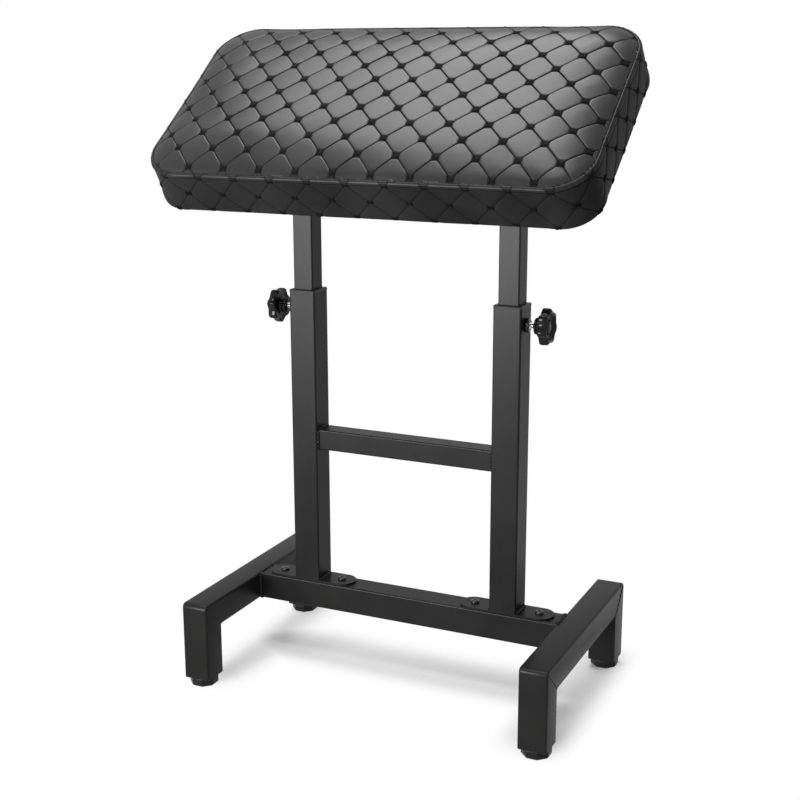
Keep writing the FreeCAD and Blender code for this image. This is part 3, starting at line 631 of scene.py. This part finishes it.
def cutTopPanel():
    # a grid along the quilt's own lines, closer together beside the stitches
    step = lineGap / pad["steps"]
    count = pad["across"] * pad["steps"]
    deselect()
    bpy.ops.mesh.primitive_grid_add(x_subdivisions=count, y_subdivisions=count, size=pad["across"])
    piece = added("quilted_cushion")
    lines = readPoints(piece)[:, :2] + np.array(pad["middle"])
    lines -= pad["crowd"] * np.sin(2 * pi * lines) / (2 * pi)
    x, y = fromQuilt(lines[:, 0], lines[:, 1])
    writePoints(piece, np.stack([x, y, np.zeros(len(x))], axis=1))
    # what lies past the outline comes off, and the cut edge goes onto it
    selectParts(piece, "VERT", outlineInset(x, y) < -0.3 * step)
    bpy.ops.mesh.delete(type="VERT")
    bpy.ops.mesh.select_all(action="SELECT")
    bpy.ops.mesh.flip_normals()
    bpy.ops.mesh.region_to_loop()
    leaveEdit()
    chosen = readNumbers(piece.data.vertices, "select", bool)
    points = readPoints(piece)
    nearX, nearY, awayX, awayY, run = onOutline(*points[chosen, :2].T)
    out = pad["corner"] - pad["lip"]
    points[chosen, :2] = np.stack([nearX + out * awayX, nearY + out * awayY], axis=1)
    writePoints(piece, points)
    bpy.ops.object.mode_set(mode="EDIT")
    bpy.ops.mesh.remove_doubles(threshold=step * 0.12)
    bpy.ops.mesh.select_all(action="SELECT")
    bpy.ops.mesh.region_to_loop()
    leaveEdit()
    return piece


def layQuiltMap(piece, quilt):
    # the quilt's coordinates of each vertex, as the piece's own UV map
    data = piece.data
    spots = quilt[readNumbers(data.loops, "vertex_index")]
    firstOf = np.repeat(spots[readNumbers(data.polygons, "loop_start")],
                        readNumbers(data.polygons, "loop_total"), axis=0)
    # a face across the start of the run keeps its coordinates together
    spots += np.round((firstOf - spots) / pad["bandCells"]) * pad["bandCells"]
    data.uv_layers.new(name="quilt").data.foreach_set("uv", spots.astype(np.float32).ravel())


def makeCushion():
    piece = cutTopPanel()
    topCount = len(piece.data.vertices)
    # the side and the hem are drawn down from the edge, row by row
    bpy.ops.object.mode_set(mode="EDIT")
    for _ in sideRows + hemRows:
        extrude(0, 0, -0.001)
    bpy.ops.mesh.edge_face_add()
    leaveEdit()
    points = readPoints(piece)
    topX, topY = points[:topCount, 0], points[:topCount, 1]
    band = points[topCount:].reshape(len(sideRows) + len(hemRows), -1, 3)
    nearX, nearY, awayX, awayY, run = onOutline(band[0, :, 0], band[0, :, 1])

    def layRow(index, inset, more, level):
        drawn = 1 - inset * (1 - pad["cornerShare"]) / np.array([straightX / 2, straightY / 2])
        out = pad["corner"] - inset * pad["cornerShare"] + more
        x, y, z = band[index].T
        x[:], y[:], z[:] = nearX * drawn[0] + out * awayX, nearY * drawn[1] + out * awayY, level

    gather = pad["sideFold"] * cornerGather(run)
    for index, depth in enumerate(sideRows):
        more = bandOut(run, depth) + cornerOut(awayX, awayY, depth) + gather * exp(-depth / 0.008)
        layRow(index, bandInset(depth), more, pad["seam"] - depth)
    for index, (inset, rise) in enumerate(hemRows, start=len(sideRows)):
        more = cornerOut(awayX, awayY, sideRows[-1]) * max(0, 1 - inset / hemRows[-1][0])
        layRow(index, inset, more, pad["underside"] + rise)
    points[topCount:] = band.reshape(-1, 3)
    # the top panel's crown, with the quilt's cells on it
    *_, topRun = onOutline(topX, topY)
    inset = outlineInset(topX, topY)
    points[:topCount, 2] = pad["seam"] + topHeight(topX, topY) \
        + pad["topFold"] * cornerGather(topRun) * np.exp(-inset / 0.009) \
        * np.clip(inset / 0.003, 0, 1)
    writePoints(piece, points)
    # the quilt's own coordinates, for the finish
    depths = sideRows + [sideRows[-1] + inward - sideProfile[-1][1] for inward, rise in hemRows]
    panels = [toQuilt(topX, topY)] + [bandLines(run, depth) for depth in depths]
    layQuiltMap(piece, np.concatenate([np.stack(panel, axis=1) for panel in panels]))
    # marks for the finish: where a seam runs, darkened there as thread and as painted shade, and what use
    # has polished
    seamLineShade, polish = np.zeros(len(points)), np.zeros(len(points))
    # the top darkens towards its edge over a narrow band: the seam's thread, and painted shade along the
    # edge
    seamLineShade[:topCount] = np.clip(1 - (inset - pad["lip"]) / pad["seamShadeWide"], 0, 1)
    atRidge = np.abs(np.array(depths) - pad["ridge"]) < 0.0007
    seamLineShade[topCount:] = np.repeat(atRidge, band.shape[1])
    polish[:topCount] = 1
    polish[topCount:topCount + pad["ridgeRows"] * band.shape[1]] = pad["ridgeShine"]
    for name, values in (("seam_line_shade", seamLineShade), ("polish", polish)):
        marks = piece.data.attributes.new(name, "FLOAT", "POINT")
        marks.data.foreach_set("value", values.astype(np.float32))
    pick(piece)
    enterEdit()
    bpy.ops.mesh.normals_make_consistent(inside=False)
    leaveEdit()
    bpy.ops.object.shade_smooth()
    swell = simulateSwell(piece)
    writePoints(piece, points + swellAt(points, swell))
    return settle(piece, padPlace), swell


cushion, cushionSwell = makeCushion()
dress(cushion, "leatherette", "pad")
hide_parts("quilted_cover", "foam_block")
print("cushion made,", len(cushion.data.polygons), "faces")


# the quilt's knots

knotSizes = {"wide": 0.0104, "tall": 0.0064, "rise": 0.0008, "threads": 2.5, "tuck": 0.0020,
             "near": 0.004, "lowLean": -0.25}


def knotMaster():
    # a few satin stitches side by side, domed and tucked in at the ends
    deselect()
    bpy.ops.mesh.primitive_grid_add(x_subdivisions=10, y_subdivisions=4, size=2)
    knot = added("knot_master")
    points = readPoints(knot)
    x, y, z = points.T
    threads = np.abs(np.sin(x * knotSizes["threads"] * pi))
    edge = np.maximum(np.abs(x), np.abs(y))
    z[:] = knotSizes["rise"] * (0.35 + 0.65 * (1 - threads)) - knotSizes["tuck"] * edge ** 6
    x *= knotSizes["wide"] / 2 * (1 - 0.12 * y ** 2)
    y *= knotSizes["tall"] / 2 * (0.80 + 0.20 * (x / knotSizes["wide"] * 2) ** 2)
    writePoints(knot, points)
    return knot


def knotPlaces():
    # each knot's point and outward direction, on the top and the band
    near = knotSizes["near"]
    places = []
    for first in range(-12, 13):
        for second in range(-12, 13):
            x, y = fromQuilt(first, second)
            if outlineInset(x, y) < pad["knotEdge"]:
                continue
            fallX = topHeight(x - near, y) - topHeight(x + near, y)
            fallY = topHeight(x, y - near) - topHeight(x, y + near)
            point = Vector((x, y, pad["seam"] + topHeight(x, y)))
            places.append((point, Vector((fallX, fallY, 2 * near)).normalized()))
    for row, depth in enumerate(pad["knotRows"]):
        for column in range(pad["bandCells"]):
            run = (column + (row % 2) / 2) * bandCell - pad["bandStart"]
            centre, away = outlineAt(run)
            out = pad["corner"] - bandInset(depth) + bandOut(run, depth) + cornerOut(away.x, away.y, depth)
            point = centre + away * out + Vector((0, 0, pad["seam"] - depth))
            lean = knotSizes["lowLean"] if row == 2 else 0
            places.append((point, (away + Vector((0, 0, lean))).normalized()))
    return places


def makeKnots():
    knot = knotMaster()
    places = knotPlaces()
    swells = swellAt(np.array([point for point, up in places]), cushionSwell)
    copies = []
    for (point, up), moved in zip(places, swells):
        point = point + Vector(moved) + up * pad["knotUp"]
        side = Vector((1, 0, 0)) if abs(up.z) > 0.5 else Vector((0, 0, 1)).cross(up)
        side = (side - up * side.dot(up)).normalized()
        stance = Matrix((side, up.cross(side), up)).transposed().to_4x4()
        copies.append(copyOf(knot, "knot", padPlace @ Matrix.Translation(point) @ stance))
    drop(knot)
    knots = joined(copies, "quilt_knots")
    pick(knots)
    bpy.ops.object.shade_smooth()
    return dress(knots, "sewing_thread", "pad")


knots = makeKnots()
print("knots made,", len(knots.data.polygons), "faces")


# the cloth under the pad

def makeUnderCloth():
    # black cloth over the board, a little slack
    sizes = {"inset": 0.0264, "level": 0.0353, "slack": 0.0003, "thick": 0.0003, "taut": 0.02}
    deselect()
    bpy.ops.mesh.primitive_grid_add(x_subdivisions=70, y_subdivisions=34, size=2)
    cloth = added("under_cloth")
    halfWidth = pad["halfWidth"] - sizes["inset"]
    halfDepth = pad["halfDepth"] - sizes["inset"]
    radius = pad["corner"] - sizes["inset"] * pad["cornerShare"]
    points = readPoints(cloth)
    x, y, z = points.T
    x *= halfWidth
    y *= halfDepth
    # the corners are cut round
    apartX = np.maximum(np.abs(x) - (halfWidth - radius), 0)
    apartY = np.maximum(np.abs(y) - (halfDepth - radius), 0)
    apart = np.maximum(np.hypot(apartX, apartY), 1e-9)
    squeeze = 1 - np.maximum(apartX, apartY) / apart
    x -= np.sign(x) * apartX * squeeze
    y -= np.sign(y) * apartY * squeeze
    edge = np.minimum(halfWidth - np.abs(x), halfDepth - np.abs(y))
    crease = np.sin(x * 61 + 9 * y) * np.sin(y * 47 - x * 13)
    z[:] = sizes["level"] + sizes["slack"] * crease * np.clip(edge / sizes["taut"], 0, 1)
    writePoints(cloth, points)
    modify(cloth, "SOLIDIFY", thickness=sizes["thick"], offset=0)
    settle(cloth, padPlace)
    soften(outward(cloth), 50)
    dress(cloth, "dust_cloth", "pad")
    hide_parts("dust_cloth")


makeUnderCloth()
print("cloth made")


# turned, threaded and welded pieces

def turned(name, rows, sides=48):
    # drawn up ring by ring from rows of radius and height
    deselect()
    radius, level = rows[0]
    bpy.ops.mesh.primitive_circle_add(vertices=sides, radius=radius, fill_type="NGON",
                                      location=(0, 0, level))
    piece = added(name)
    enterEdit()
    for nextRadius, nextLevel in rows[1:]:
        extrude(0, 0, nextLevel - level)
        share = nextRadius / radius
        bpy.ops.transform.resize(value=(share, share, 1), center_override=(0, 0, 0))
        radius, level = nextRadius, nextLevel
    leaveEdit()
    settle(piece)
    return outward(piece)


def combine(piece, other, operation):
    modify(piece, "BOOLEAN", operation=operation, object=other, solver="EXACT")
    drop(other)


def inMetres(rows):
    return [(radius / 1000, level / 1000) for radius, level in rows]


def threadedRod(radius, low, high):
    # one turn of thread, screwed along the rod and cut off at both ends
    sizes = {"pitch": 0.00125, "depth": 0.00045, "steps": 20}
    deselect()
    bpy.ops.mesh.primitive_grid_add(x_subdivisions=1, y_subdivisions=2, size=2)
    rod = added("rod_master")
    selectParts(rod, "VERT", readPoints(rod)[:, 0] > 0)
    bpy.ops.mesh.delete(type="VERT")
    leaveEdit()
    rows = np.argsort(readPoints(rod)[:, 1])
    root, pitch = radius - sizes["depth"], sizes["pitch"]
    profile = np.zeros((3, 3))
    profile[rows] = [(root, 0, low - pitch), (radius, 0, low - pitch / 2), (root, 0, low)]
    writePoints(rod, profile)
    modify(rod, "SCREW", axis="Z", angle=2 * pi, screw_offset=pitch,
           iterations=ceil((high - low) / pitch) + 2, steps=sizes["steps"],
           render_steps=sizes["steps"], use_merge_vertices=True)
    pick(rod)
    for level, direction in ((low, -1), (high, 1)):
        enterEdit()
        bpy.ops.mesh.bisect(plane_co=(0, 0, level), plane_no=(0, 0, direction), use_fill=True,
                            clear_outer=True)
        leaveEdit()
    return soften(outward(rod), 40)


def hexNut(acrossFlats, height):
    # a hexagon cut by a chamfered round, as a nut is
    deselect()
    corner = acrossFlats / sqrt(3)
    bpy.ops.mesh.primitive_cylinder_add(vertices=6, radius=corner, depth=height, location=(0, 0, height / 2))
    nut = settle(added("nut_master"))
    edge, flat = 0.12 * height, 0.48 * acrossFlats
    rows = [(flat, 0), (corner, edge), (corner, height - edge), (flat, height)]
    # the round stands out a hair at both ends, so that no faces coincide
    rows = [(radius, level * 1.0002 - 0.000001) for radius, level in rows]
    combine(nut, turned("nut_round", rows, 64), "INTERSECT")
    bevelSharp(nut, 0.0002, 35)
    return soften(outward(nut), 30)


def handWheel():
    # the lobed wheel, its hub ribbed and its face dished round a boss
    sizes = {"lobes": 7, "valley": 0.0042, "hub": 0.014, "rim": 0.025, "ribs": (0.0088, 0.0112),
             "ribTop": 0.011, "ribDeep": 0.035}
    hub = [(4.4, 1.9), (10.3, 1.9), (11, 2.6), (11, 4.4), (10.4, 5.0), (9.3, 5.3), (9.0, 6.4),
           (9.2, 9.6), (10.6, 11.6)]
    wheel = [(15.0, 12.9), (19.5, 11.8), (22.4, 10.7), (24.2, 11.3), (25, 13.2), (25.2, 16.5),
             (25, 20.2), (24.2, 22.6), (22.6, 23.8), (20.6, 24.0), (19.0, 23.6)]
    face = [(17.8, 22.5), (16.2, 20.2), (13.0, 18.2), (10.2, 17.7), (9.2, 18.2), (8.7, 19.4),
            (8.4, 21.0), (7.4, 21.7), (4, 22.0), (0.6, 22.1)]
    knob = turned("knob_master", inMetres(hub + wheel + face), 140)
    points = readPoints(knob)
    x, y, z = points.T
    away, around = np.hypot(x, y), np.arctan2(y, x)
    valley = (0.5 + 0.5 * np.cos(sizes["lobes"] * around)) ** 0.8
    share = smoothStep((away - sizes["hub"]) / (sizes["rim"] - sizes["hub"]))
    points[:, :2] *= (1 - sizes["valley"] / sizes["rim"] * valley * share)[:, None]
    inner, outer = sizes["ribs"]
    ribbed = (away > inner) & (away < outer) & (z < sizes["ribTop"])
    ribs = sizes["ribDeep"] * np.cos(2 * sizes["lobes"] * around[ribbed])
    points[ribbed, :2] *= (1 + ribs)[:, None]
    writePoints(knob, points)
    return soften(knob, 50)


def makeClamps():
    # the welded nut, the bright stud and the hand wheel of each clamp
    sizes = {"flats": 0.017, "nutShare": 0.84, "rod": 0.004, "nutTurn": 30}
    nutLow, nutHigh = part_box("right_clamp_nut")
    rodLow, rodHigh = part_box("right_clamp_stud")
    knob = handWheel()
    nut = hexNut(sizes["flats"], sizes["nutShare"] * (nutHigh.x - nutLow.x))
    nut.data.transform(Matrix.Rotation(radians(sizes["nutTurn"]), 4, "Z"))
    rod = threadedRod(sizes["rod"], 0, rodHigh.x - rodLow.x)
    for side, name in sideNames.items():
        for master, word, node, finish in (
                (nut, "weld_nut", f"{name}_clamp_nut", "black_steel"),
                (rod, "threaded_stud", f"{name}_clamp_stud", "zinc_steel"),
                (knob, "hand_wheel", f"{name}_clamp_knob", "knob_plastic")):
            low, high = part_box(node)
            start = (side * min(abs(low.x), abs(high.x)), standY, (nutLow.z + nutHigh.z) / 2)
            # a master's own upward axis turns to the outside
            place = Matrix.Translation(start) @ Matrix.Rotation(side * pi / 2, 4, "Y")
            made = copyOf(master, f"{name}_{word}", place)
            dress(made, finish, "stand" if master is nut else node)
            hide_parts(node)
    drop(knob, nut, rod)


def makeFeet():
    # octagonal levelling feet with a rounded tread, on threaded studs
    rows = [(17.0, 0), (18.4, 0.3), (20.5, 2.4), (20.5, 11.4), (19.9, 12.2), (18.6, 12.4)]
    foot = turned("foot_master", inMetres(rows), 8)
    foot.data.transform(Matrix.Rotation(pi / 8, 4, "Z"))
    bevelSharp(foot, 0.0009, 20, 3)
    soften(outward(foot), 30)
    rodLow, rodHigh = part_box("front_left_foot_stud")
    rod = threadedRod(0.004, rodLow.z + 0.002, rodHigh.z)
    for sideName in sideNames.values():
        for endName in endNames.values():
            corner = f"{endName}_{sideName}"
            low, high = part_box(f"{corner}_foot_base")
            place = Matrix.Translation(((low.x + high.x) / 2, (low.y + high.y) / 2, 0))
            for master, word, node, finish in (
                    (foot, "foot", f"{corner}_foot_base", "black_plastic"),
                    (rod, "foot_rod", f"{corner}_foot_stud", "zinc_steel")):
                made = copyOf(master, f"{corner}_{word}", place)
                dress(made, finish, node)
                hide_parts(node)
    drop(foot, rod)


def makeFlangeScrews():
    # four pan-head screws with a cross recess
    sizes = {"pitch": 0.096, "head": 0.0062, "shank": 0.003, "cross": (0.0066, 0.0015, 0.0040)}
    # the head's profile, as shares of its radius and of its height
    dome = [(1, 0.40), (0.96, 0.62), (0.84, 0.82), (0.62, 0.95), (0.3, 1)]
    low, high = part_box("flange_screws")
    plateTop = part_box("left_flange_plate")[1].z
    rise = high.z - plateTop
    head = sizes["head"]
    rows = [(head * 0.6, -0.001), (head, -0.0002)]
    rows += [(head * wide, rise * tall) for wide, tall in dome]
    screw = turned("screw_master", rows, 40)
    for turn in (20, 110):
        bpy.ops.mesh.primitive_cube_add(size=1, location=(0, 0, rise))
        slot = added("cross_slot")
        slot.scale = sizes["cross"]
        slot.rotation_euler.z = radians(turn)
        combine(screw, settle(slot), "DIFFERENCE")
    bevelSharp(screw, 0.0002, 40)
    soften(outward(screw), 40)
    bpy.ops.mesh.primitive_cylinder_add(vertices=20, radius=sizes["shank"], depth=plateTop - low.z,
                                        location=(0, 0, (low.z - plateTop) / 2))
    shank = settle(added("screw_shank"))
    copies = []
    for side in sideNames:
        for end in (-1, 1):
            x = side * uprightX + end * sizes["pitch"] / 2
            # the screws stopped at different turns
            place = Matrix.Translation((x, standY, plateTop)) @ Matrix.Rotation(x * 9, 4, "Z")
            copies += [copyOf(screw, "screw", place), copyOf(shank, "shank", place)]
    drop(screw, shank)
    screws = joined(copies, "cross_head_screws")
    dress(screws, "black_steel", "stand")
    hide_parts("flange_screws")


def makeFootFrames():
    # one square tube each, folded down at both ends, its legs open below
    sizes = {"fold": 0.0070, "edge": 0.0028, "wall": 0.0015, "open": 0.034, "arc": 8, "near": 0.001}
    fold = sizes["fold"]
    for name in sideNames.values():
        low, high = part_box(f"{name}_foot_frame")
        tube = high.x - low.x
        front, back = low.y, high.y
        outline = []
        for y, inward, turn in ((front, 1, 180), (back, -1, 90)):
            for step in range(sizes["arc"] + 1):
                angle = radians(turn - 90 * step / sizes["arc"])
                outline.append((y + inward * fold + fold * cos(angle), high.z - fold + fold * sin(angle)))
        outline += [(back, low.z), (back - tube, low.z), (back - tube, high.z - tube),
                    (front + tube, high.z - tube), (front + tube, low.z), (front, low.z)]
        deselect()
        bpy.ops.mesh.primitive_circle_add(vertices=len(outline), fill_type="NGON")
        made = added(f"{name}_folded_frame")
        writePoints(made, np.array([(low.x, y, z) for y, z in outline]))
        enterEdit()
        extrude(tube, 0, 0)
        leaveEdit()
        outward(made)
        # the four long edges are round, and the legs' ends sharp
        above = low.z + sizes["near"]
        points = [point.co for point in made.data.vertices]
        ends = [[points[index] for index in edge.vertices] for edge in made.data.edges]
        selectParts(made, "EDGE", [abs(first.x - second.x) < sizes["near"]
                                   and max(first.z, second.z) > above for first, second in ends])
        bpy.ops.mesh.bevel(offset=sizes["edge"], segments=4, affect="EDGES")
        leaveEdit()
        selectParts(made, "FACE", [face.normal.z < -0.9 and face.center.z < above
                                   for face in made.data.polygons])
        bpy.ops.mesh.inset(thickness=sizes["wall"])
        extrude(0, 0, sizes["open"])
        leaveEdit()
        soften(outward(made), 35)
        dress(made, "powder_coat", "stand")
        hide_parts(f"{name}_foot_frame")


def beadMaster(length, radius):
    # a run of weld, its ripples laid one over the other
    sizes = {"ripple": 0.0027, "steps": 3, "wander": 0.14}
    ripples = max(3, round(length / sizes["ripple"]))
    steps = ripples * sizes["steps"]
    rows = []
    for step in range(steps + 1):
        along = step / steps
        taper = min(1, sin(pi * min(max(along, 0.012), 0.988)) * 5) ** 0.5
        swell = 0.84 + 0.16 * abs(cos(pi * ripples * along)) + 0.07 * sin(step * 2.3)
        rows.append((radius * swell * taper, (along - 0.5) * length))
    bead = turned("bead_master", rows, 10)
    points = readPoints(bead)
    x, y, z = points.T
    x += radius * sizes["wander"] * np.sin(z * 830 + 1)
    y += radius * sizes["wander"] * np.sin(z * 1010)
    writePoints(bead, points)
    return soften(bead, 60)


def makeWelds():
    # fillets where tubes and plates meet, and the thin mitres at the frames' folds
    sizes = {"fillet": 0.0027, "flush": 0.0030, "mitre": 0.0012, "plateRun": 0.0175,
             "barRun": 0.013, "endGap": 0.002, "sunk": 0.0006, "mitreSunk": 0.0004,
             "mitreStart": 0.0035, "mitreRun": 0.0360}
    half = (tubeHigh.x - tubeLow.x) / 2
    barLow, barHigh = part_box("mid_crossbar")
    barHalf, barZ = (barHigh.z - barLow.z) / 2, (barHigh.z + barLow.z) / 2
    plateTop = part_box("left_flange_plate")[1].z
    frameLow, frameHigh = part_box("right_foot_frame")
    top = frameHigh.z
    runs = []
    for side in sideNames:
        jointX = side * frameLow.x
        for face in (-1, 1):
            # each upright on its plate, and the lower crossbar's sides on the frame
            x, reach = side * uprightX + face * half, sizes["plateRun"]
            runs.append(((x, standY - reach, plateTop), (x, standY + reach, plateTop), "fillet"))
            y, gap = standY + face * half, sizes["endGap"]
            runs.append(((jointX, y, top - 2 * half + gap), (jointX, y, top - gap), "fillet"))
            # the upper crossbar's four sides on the upright
            x, reach = side * (uprightX - half), sizes["barRun"]
            y, z = standY + face * barHalf, barZ + face * barHalf
            runs.append(((x, y, barZ - reach), (x, y, barZ + reach), "fillet"))
            runs.append(((x, standY - reach, z), (x, standY + reach, z), "fillet"))
        for z in (top - sizes["sunk"], top - 2 * half + sizes["sunk"]):
            runs.append(((jointX, standY - half, z), (jointX, standY + half, z), "flush"))
        for end in endNames:
            outerY = (frameLow.y if end < 0 else frameHigh.y) - end * sizes["mitreStart"]
            innerY = outerY - end * sizes["mitreRun"]
            outerZ = top - sizes["mitreStart"]
            for x in (frameLow.x + sizes["mitreSunk"], frameHigh.x - sizes["mitreSunk"]):
                runs.append(((side * x, outerY, outerZ),
                             (side * x, innerY, outerZ - sizes["mitreRun"]), "mitre"))
    masters = {}
    copies = []
    for start, finish, kind in runs:
        start, finish = Vector(start), Vector(finish)
        key = (round((finish - start).length, 3), sizes[kind])
        if key not in masters:
            masters[key] = beadMaster(*key)
        turn = (finish - start).to_track_quat("Z", "Y").to_matrix().to_4x4()
        copies.append(copyOf(masters[key], "bead", Matrix.Translation((start + finish) / 2) @ turn))
    drop(*masters.values())
    welds = joined(copies, "weld_runs")
    dress(welds, "powder_coat", "stand")
    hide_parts("weld_beads")


makeClamps()
makeFeet()
makeFlangeScrews()
makeFootFrames()
makeWelds()
print("clamps, feet, screws, frames and welds made")


# camera, light and floor

def makeCamera():
    values = {"lens": 62.255, "near": 0.05, "place": (0.78443, -1.69801, 0.884535),
              "azimuth": 25.017, "elevation": 14.104, "roll": 0.114}
    turn, rise, roll = (radians(values[name]) for name in ("azimuth", "elevation", "roll"))
    stance = Matrix.Rotation(turn, 4, "Z") @ Matrix.Rotation(pi / 2 - rise, 4, "X") \
        @ Matrix.Rotation(-roll, 4, "Z")
    deselect()
    bpy.ops.object.camera_add(location=values["place"])
    camera = bpy.context.object
    camera.name = "photo_camera"
    camera.rotation_euler = stance.to_euler()
    camera.data.lens = values["lens"]
    camera.data.clip_start = values["near"]
    bpy.context.scene.camera = camera


def makeLamps():
    lamps = [
        # name, place, aim, width, height, power
        ("top_light", (-0.47, 0.37, 2.5), (0, 0, 0.80), 1.3, 1.0, 43),
        ("room_light", (-0.15, -0.74, 2.6), (0, 0, 0.3), 1.2, 1.1, 30),
        ("front_card", (-0.95, -2.25, 0.56), (-0.05, 0, 0.5), 1.0, 0.85, 82),
    ]
    for name, place, aim, width, height, power in lamps:
        bpy.ops.object.light_add(type="AREA", location=place)
        lamp = bpy.context.object
        lamp.name = name
        lamp.data.shape = "RECTANGLE"
        lamp.data.size, lamp.data.size_y = width, height
        lamp.data.energy = power
        lamp.rotation_euler = (Vector(place) - Vector(aim)).to_track_quat("Z", "Y").to_euler()


def seenRays(finish):
    # 1 for what a camera, mirror or glass sees, 0 for the light on the object
    return finish.greater(*[finish.node("LightPath", give=name) for name in
                            ("Is Camera Ray", "Is Glossy Ray", "Is Transmission Ray")])


def makeWorld():
    # plain light all round, in front of a white background
    values = {"plain": 0.4, "white": 1}
    world = bpy.data.worlds.new("studio")
    bpy.context.scene.world = world
    studio = Finish("studio", world)
    plain, white = (studio.node("Background", {"Color": (1, 1, 1, 1), "Strength": values[name]})
                    for name in ("plain", "white"))
    mixed = studio.node("MixShader", {0: seenRays(studio), 1: plain, 2: white})
    studio.finished(mixed, "OutputWorld")


def makeFloor():
    # a darker paint lies under the frame as painted shadow strips, which also take the real shadow, and
    # plain white further off
    values = {"shadowPaint": 0.66, "shadowMiddleY": 0.034, "barY": 0.085, "barX": (0.22, 0.30),
              "feetX": 0.240, "feetWide": 0.066, "feetY": (0.13, 0.21), "leftShadowShare": 0.55}
    made = Finish("studio_floor")
    shadowPaint = made.node("BsdfDiffuse", {"Color": grey(values["shadowPaint"])})
    glow = made.node("Emission", {"Color": (1, 1, 1, 1), "Strength": 1})
    x, y = made.parts(made.place())
    awayX, awayY = abs(x), abs(y - values["shadowMiddleY"])
    # painted shadow strips, centred a little behind the crossbar, and weaker under the left foot frame than
    # under the right
    barShadowPaint = made.ramp(awayY, 0, values["barY"], 1, 0) * made.ramp(awayX, *values["barX"], 1, 0)
    feetShadowPaint = made.ramp(abs(awayX - values["feetX"]), 0, values["feetWide"], 1, 0) \
        * made.ramp(awayY, *values["feetY"], 1, 0) \
        * made.ramp(x, -0.2, 0.2, values["leftShadowShare"], 1)
    # camera, mirror and glass rays see white outside the strips, and the darker paint inside them as painted
    # shadow
    white = seenRays(made) * (1 - made.greater(barShadowPaint, feetShadowPaint))
    made.finished(made.node("MixShader", {0: white, 1: shadowPaint, 2: glow}))
    deselect()
    bpy.ops.mesh.primitive_plane_add(size=40)
    floor = added("studio_floor")
    floor.data.materials.append(made.owner)


makeCamera()
makeLamps()
makeWorld()
makeFloor()
bpy.context.scene.view_settings.view_transform = "Standard"
print("stage made")
